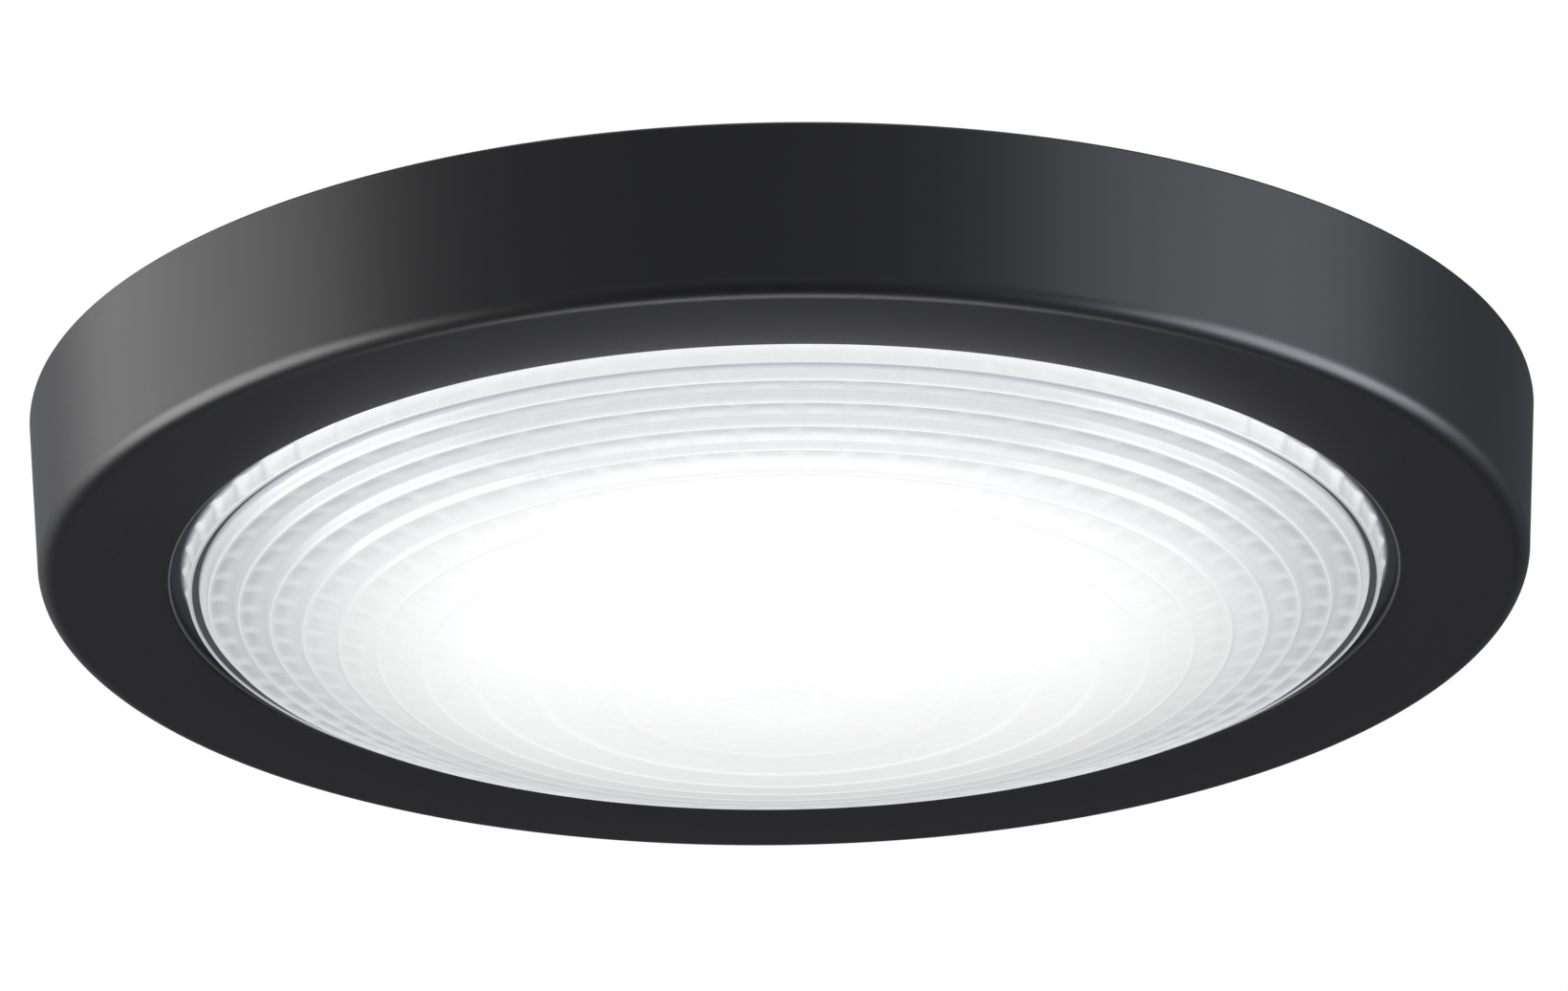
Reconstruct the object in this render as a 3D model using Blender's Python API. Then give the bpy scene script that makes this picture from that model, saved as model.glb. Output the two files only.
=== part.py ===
"""A ceiling fan light kit.

A pressed pan screws to the fan's hub and carries an LED driver and a light engine under it. A drum-shaped
trim housing with a ringed glass lens twists onto the pan.

Metres, +Z up. The origin is the centre of the pan's hub face, which meets the fan, and the light points down.
"""

import math

import bmesh
import bpy
from mathutils import Matrix, Vector

MM = 0.001

# Clearances
GAP = 0.3 * MM  # between pieces that rest on each other
OVERRUN = 2 * MM  # how far a cutter runs past what it cuts
ROOT_DEPTH = 0.4 * MM  # how deep a boss or a tab is rooted in what carries it

# Trim housing, a steel drum with a flat ring under it
TRIM_RADIUS = 150 * MM
TRIM_DRAFT = 1.95 * MM  # how much wider the rim is than the lower edge
TRIM_HEIGHT = 35 * MM
TRIM_SHEET = 1.2 * MM
TRIM_EDGE_ROUND = 2 * MM
RING_WIDTH = 25.5 * MM  # from the lower edge to the lens opening
RIM_DROP = 1 * MM  # the rim lies this far under the hub face
HEM_ROUND = 1 * MM  # where the ring turns up into the opening's hem
HEM_CLEARANCE = 0.5 * MM  # between the hem and the lens flange

# Bayonet that hangs the trim housing on the pan
TAB_COUNT = 3
TAB_AZIMUTH = 30
TAB_WIDTH = 12 * MM
TAB_REACH = 8.5 * MM
TWIST_ANGLE = 15
NOTCH_CLEARANCE = 2 * MM
STOP_WIDTH = 3 * MM
STOP_HEIGHT = 1.6 * MM
STOP_MARGIN = 1 * MM  # between a notch and the stop beside it

# Glass lens
LENS_GAP = 3.45 * MM  # all round, between the hem and the lens wall
LENS_WALL = 3.5 * MM
LENS_WALL_DRAFT = 0.5 * MM
LENS_PROUD = 3.3 * MM  # the first ring lies this far under the trim ring
LENS_FLANGE_REACH = 7.5 * MM
LENS_FLANGE_THICKNESS = 3 * MM
LENS_DOME_RADIUS = 319.5 * MM
LENS_STEP = 2.25 * MM  # height of each ring's step
LENS_CROWN = 5 * MM  # glass thickness at a ring's edge
GASKET_THICKNESS = 1 * MM
GASKET_MARGIN = 0.6 * MM

# Swivel clips that hold the lens flange
CLIP_COUNT = 3
CLIP_AZIMUTH = 90
CLIP_WIDTH = 9 * MM
CLIP_THICKNESS = 1 * MM
CLIP_GRIP = 5 * MM  # how far a clip reaches over the flange
CLIP_THUMB_CLEARANCE = 1.2 * MM  # between a clip's thumb tab and its screw's head
CLIP_THUMB_HEIGHT = 4 * MM
POST_RADIUS = 4 * MM
POST_FLOOR = 0.6 * MM  # left under the post's screw hole

# Fitter pan, pressed steel
PAN_SHEET = 1.2 * MM
PAN_DEPTH = 4 * MM  # of the plate under the hub face
PAN_SKIRT = 8 * MM
PAN_CLEARANCE = 1 * MM  # to the trim wall
PAN_RIM_ROUND = 1.2 * MM
HUB_RADIUS = 56 * MM
WELL_RADIUS = 24 * MM
STEP_WIDTH = 4 * MM  # of the slopes on both sides of the hub face
WIRE_HOLE_RADIUS = 14 * MM
KEYHOLE_COUNT = 3
KEYHOLE_AZIMUTH = 90
KEYHOLE_CIRCLE_RADIUS = 43 * MM
KEYHOLE_HEAD_RADIUS = 4.5 * MM
KEYHOLE_SLOT_RADIUS = 2.4 * MM
KEYHOLE_SLOT_LENGTH = 9 * MM
BEAD_COUNT = 6
BEAD_HEIGHT = 1.2 * MM
BEAD_LENGTH_SHARE = 5 / 7  # of the way from the hub face's slope to the standoffs
BEAD_WIDTH_SHARE = 0.2  # of a bead's length
VENT_COUNT = 18
VENT_WIDTH = 3 * MM
VENT_LENGTH = 14 * MM

# Wire grommet and earth terminal
GROMMET_BORE_RADIUS = 9 * MM
GROMMET_LIP = 3 * MM  # how far its lips reach over the pan
GROMMET_LIP_THICKNESS = 1.5 * MM
EARTH_RADIUS = 75 * MM
EARTH_AZIMUTH = 210
EARTH_WASHER_RADIUS = 5 * MM
EARTH_WASHER_THICKNESS = 0.8 * MM

# Screws: M4 for the clips, the driver and the earth, M3.5 for the heat plate, M3 for the LED board
M4_RADIUS = 2 * MM
M4_HEAD_RADIUS = 4 * MM
M4_HEAD_HEIGHT = 2.4 * MM
PLATE_SCREW_RADIUS = 1.75 * MM
PLATE_SCREW_HEAD_RADIUS = 3.4 * MM
PLATE_SCREW_HEAD_HEIGHT = 2 * MM
PLATE_SCREW_GRIP = 7 * MM  # how far it runs into its standoff
BOARD_SCREW_RADIUS = 1.5 * MM
BOARD_SCREW_HEAD_RADIUS = 2.8 * MM
BOARD_SCREW_HEAD_HEIGHT = 1.8 * MM
SCREW_TIP = 1 * MM  # how far a screw stands out of the last sheet

# Heat plate, LED board and what holds them
PLATE_INSET = 12.5 * MM  # from the lens opening to the heat plate's edge
PLATE_THICKNESS = 1.5 * MM
PLATE_RIM_HEIGHT = 4.5 * MM
LEAD_HOLE_RADIUS = 8 * MM
STANDOFF_COUNT = 3
STANDOFF_AZIMUTH = 30
STANDOFF_INSET = 10 * MM  # from the heat plate's edge
STANDOFF_RADIUS = 5 * MM
SPIGOT_RADIUS = 2.7 * MM
PAD_THICKNESS = 0.5 * MM
PAD_INSET = 2 * MM
BOARD_THICKNESS = 1.6 * MM
BOARD_INSET = 3 * MM  # from the diffuser's wall
BOARD_SCREW_COUNT = 4
BOARD_SCREW_AZIMUTH = 45
BOARD_SCREW_CIRCLE_SHARE = 0.55
LED_LENGTH = 3.5 * MM
LED_WIDTH = 2.8 * MM
LED_HEIGHT = 0.8 * MM
LED_RING_SHARES = (0.42, 0.66, 0.9)  # of the board's radius
LED_RING_COUNTS = (8, 12, 16)

# Reflector and diffuser
REFLECTOR_SHEET = 0.8 * MM
REFLECTOR_INSET = 3.5 * MM  # from the lens opening
REFLECTOR_DROP = 3.2 * MM
REFLECTOR_CLEARANCE = 0.4 * MM  # over the lens flange
REFLECTOR_SEAT_IN = 5 * MM  # the flat seat's reach on both sides of the screws
REFLECTOR_SEAT_OUT = 6 * MM
DIFFUSER_SHEET = 1.5 * MM
DIFFUSER_FLANGE_MARGIN = 1.5 * MM
DIFFUSER_WALL_INSET = 7.5 * MM  # from the screws to the dish
DIFFUSER_WALL_DEPTH = 6.6 * MM
DIFFUSER_CROWN = 9 * MM

# LED driver
DRIVER_LENGTH = 96 * MM
DRIVER_WIDTH = 40 * MM
DRIVER_INSET = 8.2 * MM  # from the heat plate's edge to the driver's far corners
DRIVER_WALL = 1.5 * MM
DRIVER_CLEARANCE = 1.5 * MM  # over the heat plate
EAR_LENGTH = 12 * MM
EAR_WIDTH = 12 * MM
DRIVER_BOARD_THICKNESS = 1.6 * MM
DRIVER_BOARD_MARGIN = 2.5 * MM
BOSS_RADIUS = 2.5 * MM
BOSS_HEIGHT = 2 * MM
TERMINAL_LENGTH = 11 * MM
TERMINAL_DEPTH = 9 * MM
TERMINAL_PITCH = 5 * MM
TERMINAL_OFFSET_X = 20 * MM
TERMINAL_PROUD = 2 * MM
WIRE_ENTRY_RADIUS = 1.3 * MM
WIRE_ENTRY_DEPTH = 4 * MM
TRANSFORMER_LENGTH = 16 * MM
TRANSFORMER_WIDTH = 14 * MM
CHOKE_RADIUS = 5 * MM
BULK_CAPACITOR_LENGTH = 15 * MM
OUTPUT_CAPACITOR_RADIUS = 3.2 * MM
PART_HEIGHT_SHARE = 0.88  # of the room over the driver's board
CAPACITOR_GROOVE_SHARE = 0.12

# LED board connector and the two leads, held inside all the way
CONNECTOR_LENGTH = 10 * MM
CONNECTOR_WIDTH = 10 * MM
CONNECTOR_HEIGHT = 4.4 * MM
CONNECTOR_X = 16 * MM
LEAD_RADIUS = 0.9 * MM
LEAD_POINT_COUNT = 30
LEAD_STRAIGHT = 6 * MM  # how far a lead runs straight out of its terminal
LEAD_BEND_ROOM = 4 * MM  # over and under the heat plate's hole, for a lead's bends

# How finely round shapes are divided
WIDE_SEGMENTS = 48
MIDDLE_SEGMENTS = 36
SMALL_SEGMENTS = 24
SCREW_SEGMENTS = 12
ROUND_STEPS = 3
DOME_STEPS = 5
SMOOTH_ANGLE = 35

# Levels and radii worked out from the sizes above
RIM_Z = -RIM_DROP
FACE_Z = RIM_Z - TRIM_HEIGHT
SEAT_Z = FACE_Z + TRIM_SHEET
OPENING_RADIUS = TRIM_RADIUS - RING_WIDTH
GASKET_Z = SEAT_Z + GAP
LENS_SEAT_Z = GASKET_Z + GASKET_THICKNESS + GAP
LENS_TOP_Z = LENS_SEAT_Z + LENS_FLANGE_THICKNESS
LENS_EDGE_Z = FACE_Z - LENS_PROUD
LENS_RADIUS = OPENING_RADIUS - LENS_GAP
LENS_FLANGE_RADIUS = OPENING_RADIUS + LENS_FLANGE_REACH
CLIP_Z = LENS_TOP_Z + GAP
PLATE_TOP_Z = (LENS_TOP_Z + REFLECTOR_CLEARANCE + REFLECTOR_DROP + REFLECTOR_SHEET + GAP
               + PLATE_THICKNESS)
PLATE_Z = PLATE_TOP_Z - PLATE_THICKNESS
PLATE_RADIUS = OPENING_RADIUS - PLATE_INSET
PAD_TOP_Z = PLATE_Z - GAP
BOARD_TOP_Z = PAD_TOP_Z - PAD_THICKNESS - GAP
BOARD_Z = BOARD_TOP_Z - BOARD_THICKNESS
REFLECTOR_TOP_Z = PLATE_Z - GAP
DIFFUSER_TOP_Z = REFLECTOR_TOP_Z - REFLECTOR_SHEET - GAP
STANDOFF_CIRCLE_RADIUS = PLATE_RADIUS - STANDOFF_INSET
DRIVER_FAR_Y = math.sqrt((PLATE_RADIUS - DRIVER_INSET) ** 2 - (DRIVER_LENGTH / 2) ** 2)
DRIVER_CENTRE_Y = DRIVER_FAR_Y - DRIVER_WIDTH / 2
DIFFUSER_RADIUS = STANDOFF_CIRCLE_RADIUS - DIFFUSER_WALL_INSET
BOARD_RADIUS = DIFFUSER_RADIUS - DIFFUSER_SHEET - BOARD_INSET
PAN_Z = -PAN_DEPTH
PAN_UNDER_Z = PAN_Z - PAN_SHEET
SKIRT_Z = PAN_Z - PAN_SKIRT
LID_TOP_Z = PAN_UNDER_Z - GAP
LID_Z = LID_TOP_Z - DRIVER_WALL
CASE_TOP_Z = LID_Z - GAP
CASE_Z = PLATE_TOP_Z + DRIVER_CLEARANCE
DRIVER_BOARD_Z = CASE_Z + DRIVER_WALL + BOSS_HEIGHT + GAP
PARTS_Z = DRIVER_BOARD_Z + DRIVER_BOARD_THICKNESS + GAP
PARTS_HEIGHT = (LID_Z - PARTS_Z) * PART_HEIGHT_SHARE


def trim_wall_radius(height):
    """The inside radius of the trim housing's wall at a height."""
    return TRIM_RADIUS - TRIM_SHEET + TRIM_DRAFT * (height - FACE_Z) / TRIM_HEIGHT


PAN_RADIUS = trim_wall_radius(SKIRT_Z) - PAN_CLEARANCE
TAB_Z = PAN_Z + GAP
TAB_INNER_RADIUS = trim_wall_radius(TAB_Z) - TAB_REACH
POST_CIRCLE_RADIUS = (LENS_FLANGE_RADIUS + trim_wall_radius(SEAT_Z)) / 2


# Outlines

def arc(centre, radius, start, end, steps):
    """Points on an arc, from one angle in degrees to another, or its centre if it has no radius."""
    if radius <= 0:
        return [centre]
    angles = [math.radians(start + (end - start) * step / steps) for step in range(steps + 1)]
    return [(centre[0] + radius * math.cos(a), centre[1] + radius * math.sin(a)) for a in angles]


def slot_outline(length, radius, steps):
    """A slot with round ends, along X, centred on the origin."""
    reach = length / 2 - radius
    return arc((reach, 0), radius, -90, 90, steps) + arc((-reach, 0), radius, 90, 270, steps)


def keyhole_outline():
    """A keyhole with its round head at the origin and its slot along +Y."""
    side = math.degrees(math.asin(KEYHOLE_SLOT_RADIUS / KEYHOLE_HEAD_RADIUS))
    head = arc((0, 0), KEYHOLE_HEAD_RADIUS, 90 + side, 450 - side, SCREW_SEGMENTS)
    return head + arc((0, KEYHOLE_SLOT_LENGTH), KEYHOLE_SLOT_RADIUS, 0, 180, ROUND_STEPS + 1)


def cross_outline(reach, half_width):
    """A cross, as the driver's recess in a screw has."""
    corners = ((reach, half_width), (half_width, half_width), (half_width, reach))
    points = []
    for turn in range(4):
        for x, y in corners:
            for _ in range(turn):
                x, y = -y, x
            points.append((x, y))
    return points


def dome_points(radius, height, crown, steps):
    """Points down a shallow dome, from its edge at a height to its lowest point on the axis."""
    ball = (radius ** 2 + crown ** 2) / (2 * crown)
    widest = math.asin(radius / ball)
    angles = [widest * (1 - step / steps) for step in range(steps)]
    edge = math.cos(widest)
    points = [(ball * math.sin(a), height - ball * (math.cos(a) - edge)) for a in angles]
    return points + [(0, height - crown)]


# Meshes

def turned_mesh(name, outline, segments):
    """A closed outline of (radius, height) points, turned about Z."""
    build = bmesh.new()
    rings = []
    for radius, height in outline:
        count = segments if radius > 0 else 1
        angles = [2 * math.pi * index / count for index in range(count)]
        rings.append([build.verts.new((radius * math.cos(a), radius * math.sin(a), height)) for a in angles])
    for ring, following in zip(rings, rings[1:] + rings[:1]):
        if len(ring) == 1 and len(following) == 1:
            continue
        for index in range(segments):
            after = (index + 1) % segments
            corners = (
                ring[index % len(ring)],
                ring[after % len(ring)],
                following[after % len(following)],
                following[index % len(following)],
            )
            build.faces.new(list(dict.fromkeys(corners)))
    return finished_mesh(name, build)


def prism_mesh(name, outline, low, high):
    """A closed outline of (x, y) points, raised from one height to another."""
    build = bmesh.new()
    floor = [build.verts.new((x, y, low)) for x, y in outline]
    roof = [build.verts.new((x, y, high)) for x, y in outline]
    build.faces.new(floor)
    build.faces.new(roof)
    for index in range(len(outline)):
        after = (index + 1) % len(outline)
        build.faces.new((floor[index], floor[after], roof[after], roof[index]))
    return finished_mesh(name, build)


def block_mesh(name, low, high):
    """A block between two corners."""
    outline = ((low[0], low[1]), (high[0], low[1]), (high[0], high[1]), (low[0], high[1]))
    return prism_mesh(name, outline, low[2], high[2])


def rod_mesh(name, radius, low, high, segments=SCREW_SEGMENTS):
    """A round rod along Z."""
    return turned_mesh(name, ((0, low), (radius, low), (radius, high), (0, high)), segments)


def flat_ring_mesh(name, inner, outer, low, high, segments):
    """A flat ring."""
    return turned_mesh(name, ((inner, high), (outer, high), (outer, low), (inner, low)), segments)


def finished_mesh(name, build):
    """A mesh from a bmesh, with its faces turned outwards."""
    bmesh.ops.recalc_face_normals(build, faces=build.faces)
    mesh = bpy.data.meshes.new(name)
    build.to_mesh(mesh)
    build.free()
    return mesh


def spread_mesh(name, mesh, places):
    """One mesh with a copy of another at each place."""
    build = bmesh.new()
    for place in places:
        start = len(build.verts)
        build.from_mesh(mesh)
        build.verts.ensure_lookup_table()
        bmesh.ops.transform(build, matrix=place, verts=build.verts[start:])
    spread = bpy.data.meshes.new(name)
    build.to_mesh(spread)
    build.free()
    return spread


def gathered_mesh(name, meshes):
    """One mesh from several that don't touch each other."""
    build = bmesh.new()
    for mesh in meshes:
        build.from_mesh(mesh)
    gathered = bpy.data.meshes.new(name)
    build.to_mesh(gathered)
    build.free()
    return gathered


def shaped_mesh(name, mesh, add=(), cut=()):
    """A mesh with others joined to it, and then others cut out of it."""
    base = bpy.data.objects.new(name + "_base", mesh)
    tools = []
    for operation, others in (("UNION", add), ("DIFFERENCE", cut)):
        for other in others:
            tool = bpy.data.objects.new(name + "_tool", other)
            modifier = base.modifiers.new(operation.lower(), "BOOLEAN")
            modifier.operation = operation
            modifier.solver = "EXACT"
            modifier.object = tool
            tools.append(tool)
    for obj in (base, *tools):
        bpy.context.scene.collection.objects.link(obj)
    bpy.context.view_layer.update()
    graph = bpy.context.evaluated_depsgraph_get()
    shaped = bpy.data.meshes.new_from_object(base.evaluated_get(graph), depsgraph=graph)
    shaped.name = name
    for obj in (base, *tools):
        bpy.data.objects.remove(obj)
    return shaped


def turns(count, first=0, radius=0):
    """Places spaced evenly round Z, from a first azimuth in degrees, at a radius along each turned X."""
    for index in range(count):
        angle = math.radians(first + 360 * index / count)
        yield Matrix.Rotation(angle, 4, "Z") @ Matrix.Translation((radius, 0, 0))


# Finishes: colour, roughness and metallic

FINISHES = {
    "black_paint": ((0.022, 0.022, 0.024), 0.55, 0.0),
    "pan_paint": ((0.03, 0.03, 0.032), 0.6, 0.0),
    "ribbed_glass": ((0.93, 0.94, 0.96), 0.15, 0.0),
    "silicone": ((0.35, 0.35, 0.35), 0.8, 0.0),
    "black_rubber": ((0.02, 0.02, 0.02), 0.8, 0.0),
    "zinc_steel": ((0.62, 0.63, 0.65), 0.35, 1.0),
    "green_steel": ((0.05, 0.3, 0.1), 0.4, 0.6),
    "aluminium": ((0.78, 0.79, 0.8), 0.4, 1.0),
    "thermal_pad": ((0.35, 0.45, 0.55), 0.9, 0.0),
    "white_board": ((0.85, 0.85, 0.82), 0.5, 0.0),
    "white_paint": ((0.9, 0.9, 0.9), 0.5, 0.0),
    "opal_acrylic": ((0.95, 0.95, 0.95), 0.4, 0.0),
    "white_plastic": ((0.82, 0.82, 0.8), 0.45, 0.0),
    "green_laminate": ((0.03, 0.2, 0.07), 0.4, 0.0),
    "ferrite": ((0.05, 0.05, 0.055), 0.6, 0.0),
    "dark_sleeve": ((0.03, 0.03, 0.08), 0.35, 0.0),
    "red_insulation": ((0.5, 0.02, 0.02), 0.4, 0.0),
    "black_insulation": ((0.02, 0.02, 0.02), 0.4, 0.0),
}


def finish_material(finish):
    """The material of a finish, made the first time that it is asked for."""
    material = bpy.data.materials.get(finish)
    if material is None:
        colour, roughness, metallic = FINISHES[finish]
        material = bpy.data.materials.new(finish)
        material.use_nodes = True
        shader = material.node_tree.nodes["Principled BSDF"]
        shader.inputs["Base Color"].default_value = (*colour, 1)
        shader.inputs["Roughness"].default_value = roughness
        shader.inputs["Metallic"].default_value = metallic
    return material


def add_frame(name):
    """An empty at the origin that carries the pieces of one body."""
    frame = bpy.data.objects.new(name, None)
    bpy.context.scene.collection.objects.link(frame)
    return frame


def add_piece(name, mesh, finish, frame, location=(0, 0, 0), rotation=(0, 0, 0)):
    """One piece of the light kit, at a place in its frame."""
    if not mesh.materials:
        mesh.materials.append(finish_material(finish))
    mesh.shade_smooth()
    mesh.set_sharp_from_angle(angle=math.radians(SMOOTH_ANGLE))
    piece = bpy.data.objects.new(name, mesh)
    piece.parent = frame
    piece.location = location
    piece.rotation_euler = rotation
    bpy.context.scene.collection.objects.link(piece)
    return piece


def add_round(name, mesh, finish, frame, places, height, rotation_x=0):
    """Copies of a piece at places spaced round Z, numbered from 1, all at one height."""
    for number, place in enumerate(places, 1):
        x, y, _ = place.translation
        turn = place.to_euler().z
        add_piece(f"{name}_{number}", mesh, finish, frame, (x, y, height), (rotation_x, 0, turn))


def screw_mesh(name, radius, length, head_radius, head_height):
    """A screw with its head's seat at the origin, its shank up +Z and a cross recess in the head."""
    shoulder_share = 0.75
    recess_reach_share = 0.55
    recess_width_share = 0.12
    recess_depth_share = 0.6
    outline = (
        (0, -head_height),
        (head_radius * shoulder_share, -head_height),
        (head_radius, -head_height / 2),
        (head_radius, 0),
        (radius, 0),
        (radius, length),
        (0, length),
    )
    solid = turned_mesh(name, outline, SCREW_SEGMENTS)
    cross = cross_outline(head_radius * recess_reach_share, head_radius * recess_width_share)
    depth = head_height * recess_depth_share
    recess = prism_mesh("recess", cross, -head_height - OVERRUN, -head_height + depth)
    return shaped_mesh(name, solid, cut=[recess])


# Trim assembly

def trim_housing_mesh():
    """The drum, its ring and hem, the bayonet tabs inside its rim and the posts for the clips."""
    lean = TRIM_DRAFT * TRIM_EDGE_ROUND / TRIM_HEIGHT
    inner_round = max(TRIM_EDGE_ROUND - TRIM_SHEET, 0)
    edge_centre = (TRIM_RADIUS - TRIM_EDGE_ROUND + lean, FACE_Z + TRIM_EDGE_ROUND)
    edge = arc(edge_centre, TRIM_EDGE_ROUND, 0, -90, ROUND_STEPS)
    hem = arc((OPENING_RADIUS + HEM_ROUND, FACE_Z + HEM_ROUND), HEM_ROUND, -90, -180, ROUND_STEPS)
    corner = (trim_wall_radius(SEAT_Z) - inner_round, SEAT_Z + inner_round)
    inside = arc(corner, inner_round, -90, 0, ROUND_STEPS)
    hem_top = LENS_SEAT_Z - HEM_CLEARANCE
    outline = [
        (TRIM_RADIUS + TRIM_DRAFT, RIM_Z),
        *edge,
        *hem,
        (OPENING_RADIUS, hem_top),
        (OPENING_RADIUS + TRIM_SHEET, hem_top),
        (OPENING_RADIUS + TRIM_SHEET, SEAT_Z),
        *inside,
        (trim_wall_radius(RIM_Z), RIM_Z),
    ]
    drum = turned_mesh("drum", outline, WIDE_SEGMENTS)
    tab_outer = trim_wall_radius(TAB_Z) + TRIM_SHEET / 2
    tab = block_mesh(
        "tab",
        (TAB_INNER_RADIUS, -TAB_WIDTH / 2, TAB_Z),
        (tab_outer, TAB_WIDTH / 2, TAB_Z + TRIM_SHEET),
    )
    post = rod_mesh("post", POST_RADIUS, SEAT_Z - ROOT_DEPTH, LENS_TOP_Z)
    hole = rod_mesh("post_hole", M4_RADIUS + GAP, SEAT_Z + POST_FLOOR, LENS_TOP_Z + OVERRUN)
    tabs = spread_mesh("tabs", tab, turns(TAB_COUNT, TAB_AZIMUTH))
    posts = spread_mesh("posts", post, turns(CLIP_COUNT, CLIP_AZIMUTH, POST_CIRCLE_RADIUS))
    holes = spread_mesh("post_holes", hole, turns(CLIP_COUNT, CLIP_AZIMUTH, POST_CIRCLE_RADIUS))
    return shaped_mesh("trim_housing", drum, add=[tabs, posts], cut=[holes])


def dome_level(radius):
    """How far the lens's dome lies under its own centre at a radius."""
    return math.sqrt(LENS_DOME_RADIUS ** 2 - radius ** 2)


def dome_depth(radius):
    """How far the lens's dome lies under its edge at a radius."""
    return dome_level(radius) - dome_level(LENS_RADIUS)


def dome_radius(depth):
    """Where the lens's dome lies at a depth under its edge."""
    return math.sqrt(LENS_DOME_RADIUS ** 2 - (dome_level(LENS_RADIUS) + depth) ** 2)


def lens_mesh():
    """The lens: a flange, a short wall, and a dome stepped in rings outside and smooth inside."""
    inner_radius = LENS_RADIUS - LENS_WALL
    outline = [
        (inner_radius, LENS_TOP_Z),
        (LENS_FLANGE_RADIUS, LENS_TOP_Z),
        (LENS_FLANGE_RADIUS, LENS_SEAT_Z),
        (LENS_RADIUS + LENS_WALL_DRAFT, LENS_SEAT_Z),
        (LENS_RADIUS, LENS_EDGE_Z),
    ]
    for step in range(1, int(dome_depth(0) / LENS_STEP) + 1):
        radius = dome_radius(step * LENS_STEP)
        outline.append((radius, LENS_EDGE_Z - (step - 1) * LENS_STEP))
        outline.append((radius, LENS_EDGE_Z - step * LENS_STEP))
    outline.append((0, outline[-1][1]))
    for step in range(DOME_STEPS + 1):
        radius = inner_radius * step / DOME_STEPS
        outline.append((radius, LENS_EDGE_Z - dome_depth(radius) + LENS_CROWN))
    return turned_mesh("lens", outline, WIDE_SEGMENTS)


def gasket_mesh():
    """The gasket between the ring and the lens flange."""
    inner = OPENING_RADIUS + TRIM_SHEET + GASKET_MARGIN
    outer = LENS_FLANGE_RADIUS - GASKET_MARGIN
    return flat_ring_mesh("lens_gasket", inner, outer, GASKET_Z, GASKET_Z + GASKET_THICKNESS, WIDE_SEGMENTS)


def clip_mesh():
    """A swivel clip with its pivot at the origin, its arm along -X and its thumb tab at +X."""
    arm = POST_CIRCLE_RADIUS - LENS_FLANGE_RADIUS + CLIP_GRIP
    half = CLIP_WIDTH / 2
    bend = M4_HEAD_RADIUS + CLIP_THUMB_CLEARANCE
    tail = bend + CLIP_THICKNESS
    side = (
        (-arm, 0), (tail, 0), (tail, CLIP_THUMB_HEIGHT), (bend, CLIP_THUMB_HEIGHT),
        (bend, CLIP_THICKNESS), (-arm, CLIP_THICKNESS),
    )
    bent = prism_mesh("bent_clip", side, -half, half)
    bent.transform(Matrix.Rotation(math.radians(90), 4, "X"))
    hole = rod_mesh("clip_hole", M4_RADIUS + GAP, -OVERRUN, CLIP_THICKNESS + OVERRUN)
    return shaped_mesh("lens_clip", bent, cut=[hole])


def build_trim(frame):
    """Everything that twists and comes off with the trim housing."""
    add_piece("trim_housing", trim_housing_mesh(), "black_paint", frame)
    add_piece("lens", lens_mesh(), "ribbed_glass", frame)
    add_piece("lens_gasket", gasket_mesh(), "silicone", frame)
    places = list(turns(CLIP_COUNT, CLIP_AZIMUTH, POST_CIRCLE_RADIUS))
    add_round("lens_clip", clip_mesh(), "zinc_steel", frame, places, CLIP_Z)
    head_seat = CLIP_Z + CLIP_THICKNESS + GAP
    length = head_seat - SEAT_Z - POST_FLOOR - GAP
    screw = screw_mesh("clip_screw", M4_RADIUS, length, M4_HEAD_RADIUS, M4_HEAD_HEIGHT)
    add_round("clip_screw", screw, "zinc_steel", frame, places, head_seat, math.pi)


# Fitter pan

def standoff_places():
    """Where the standoffs and the plate screws stand."""
    return turns(STANDOFF_COUNT, STANDOFF_AZIMUTH, STANDOFF_CIRCLE_RADIUS)


def driver_screw_places():
    """Where the two screws of the driver's ears stand."""
    reach = (DRIVER_LENGTH + EAR_LENGTH) / 2
    return [Matrix.Translation((side * reach, DRIVER_CENTRE_Y, 0)) for side in (-1, 1)]


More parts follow.
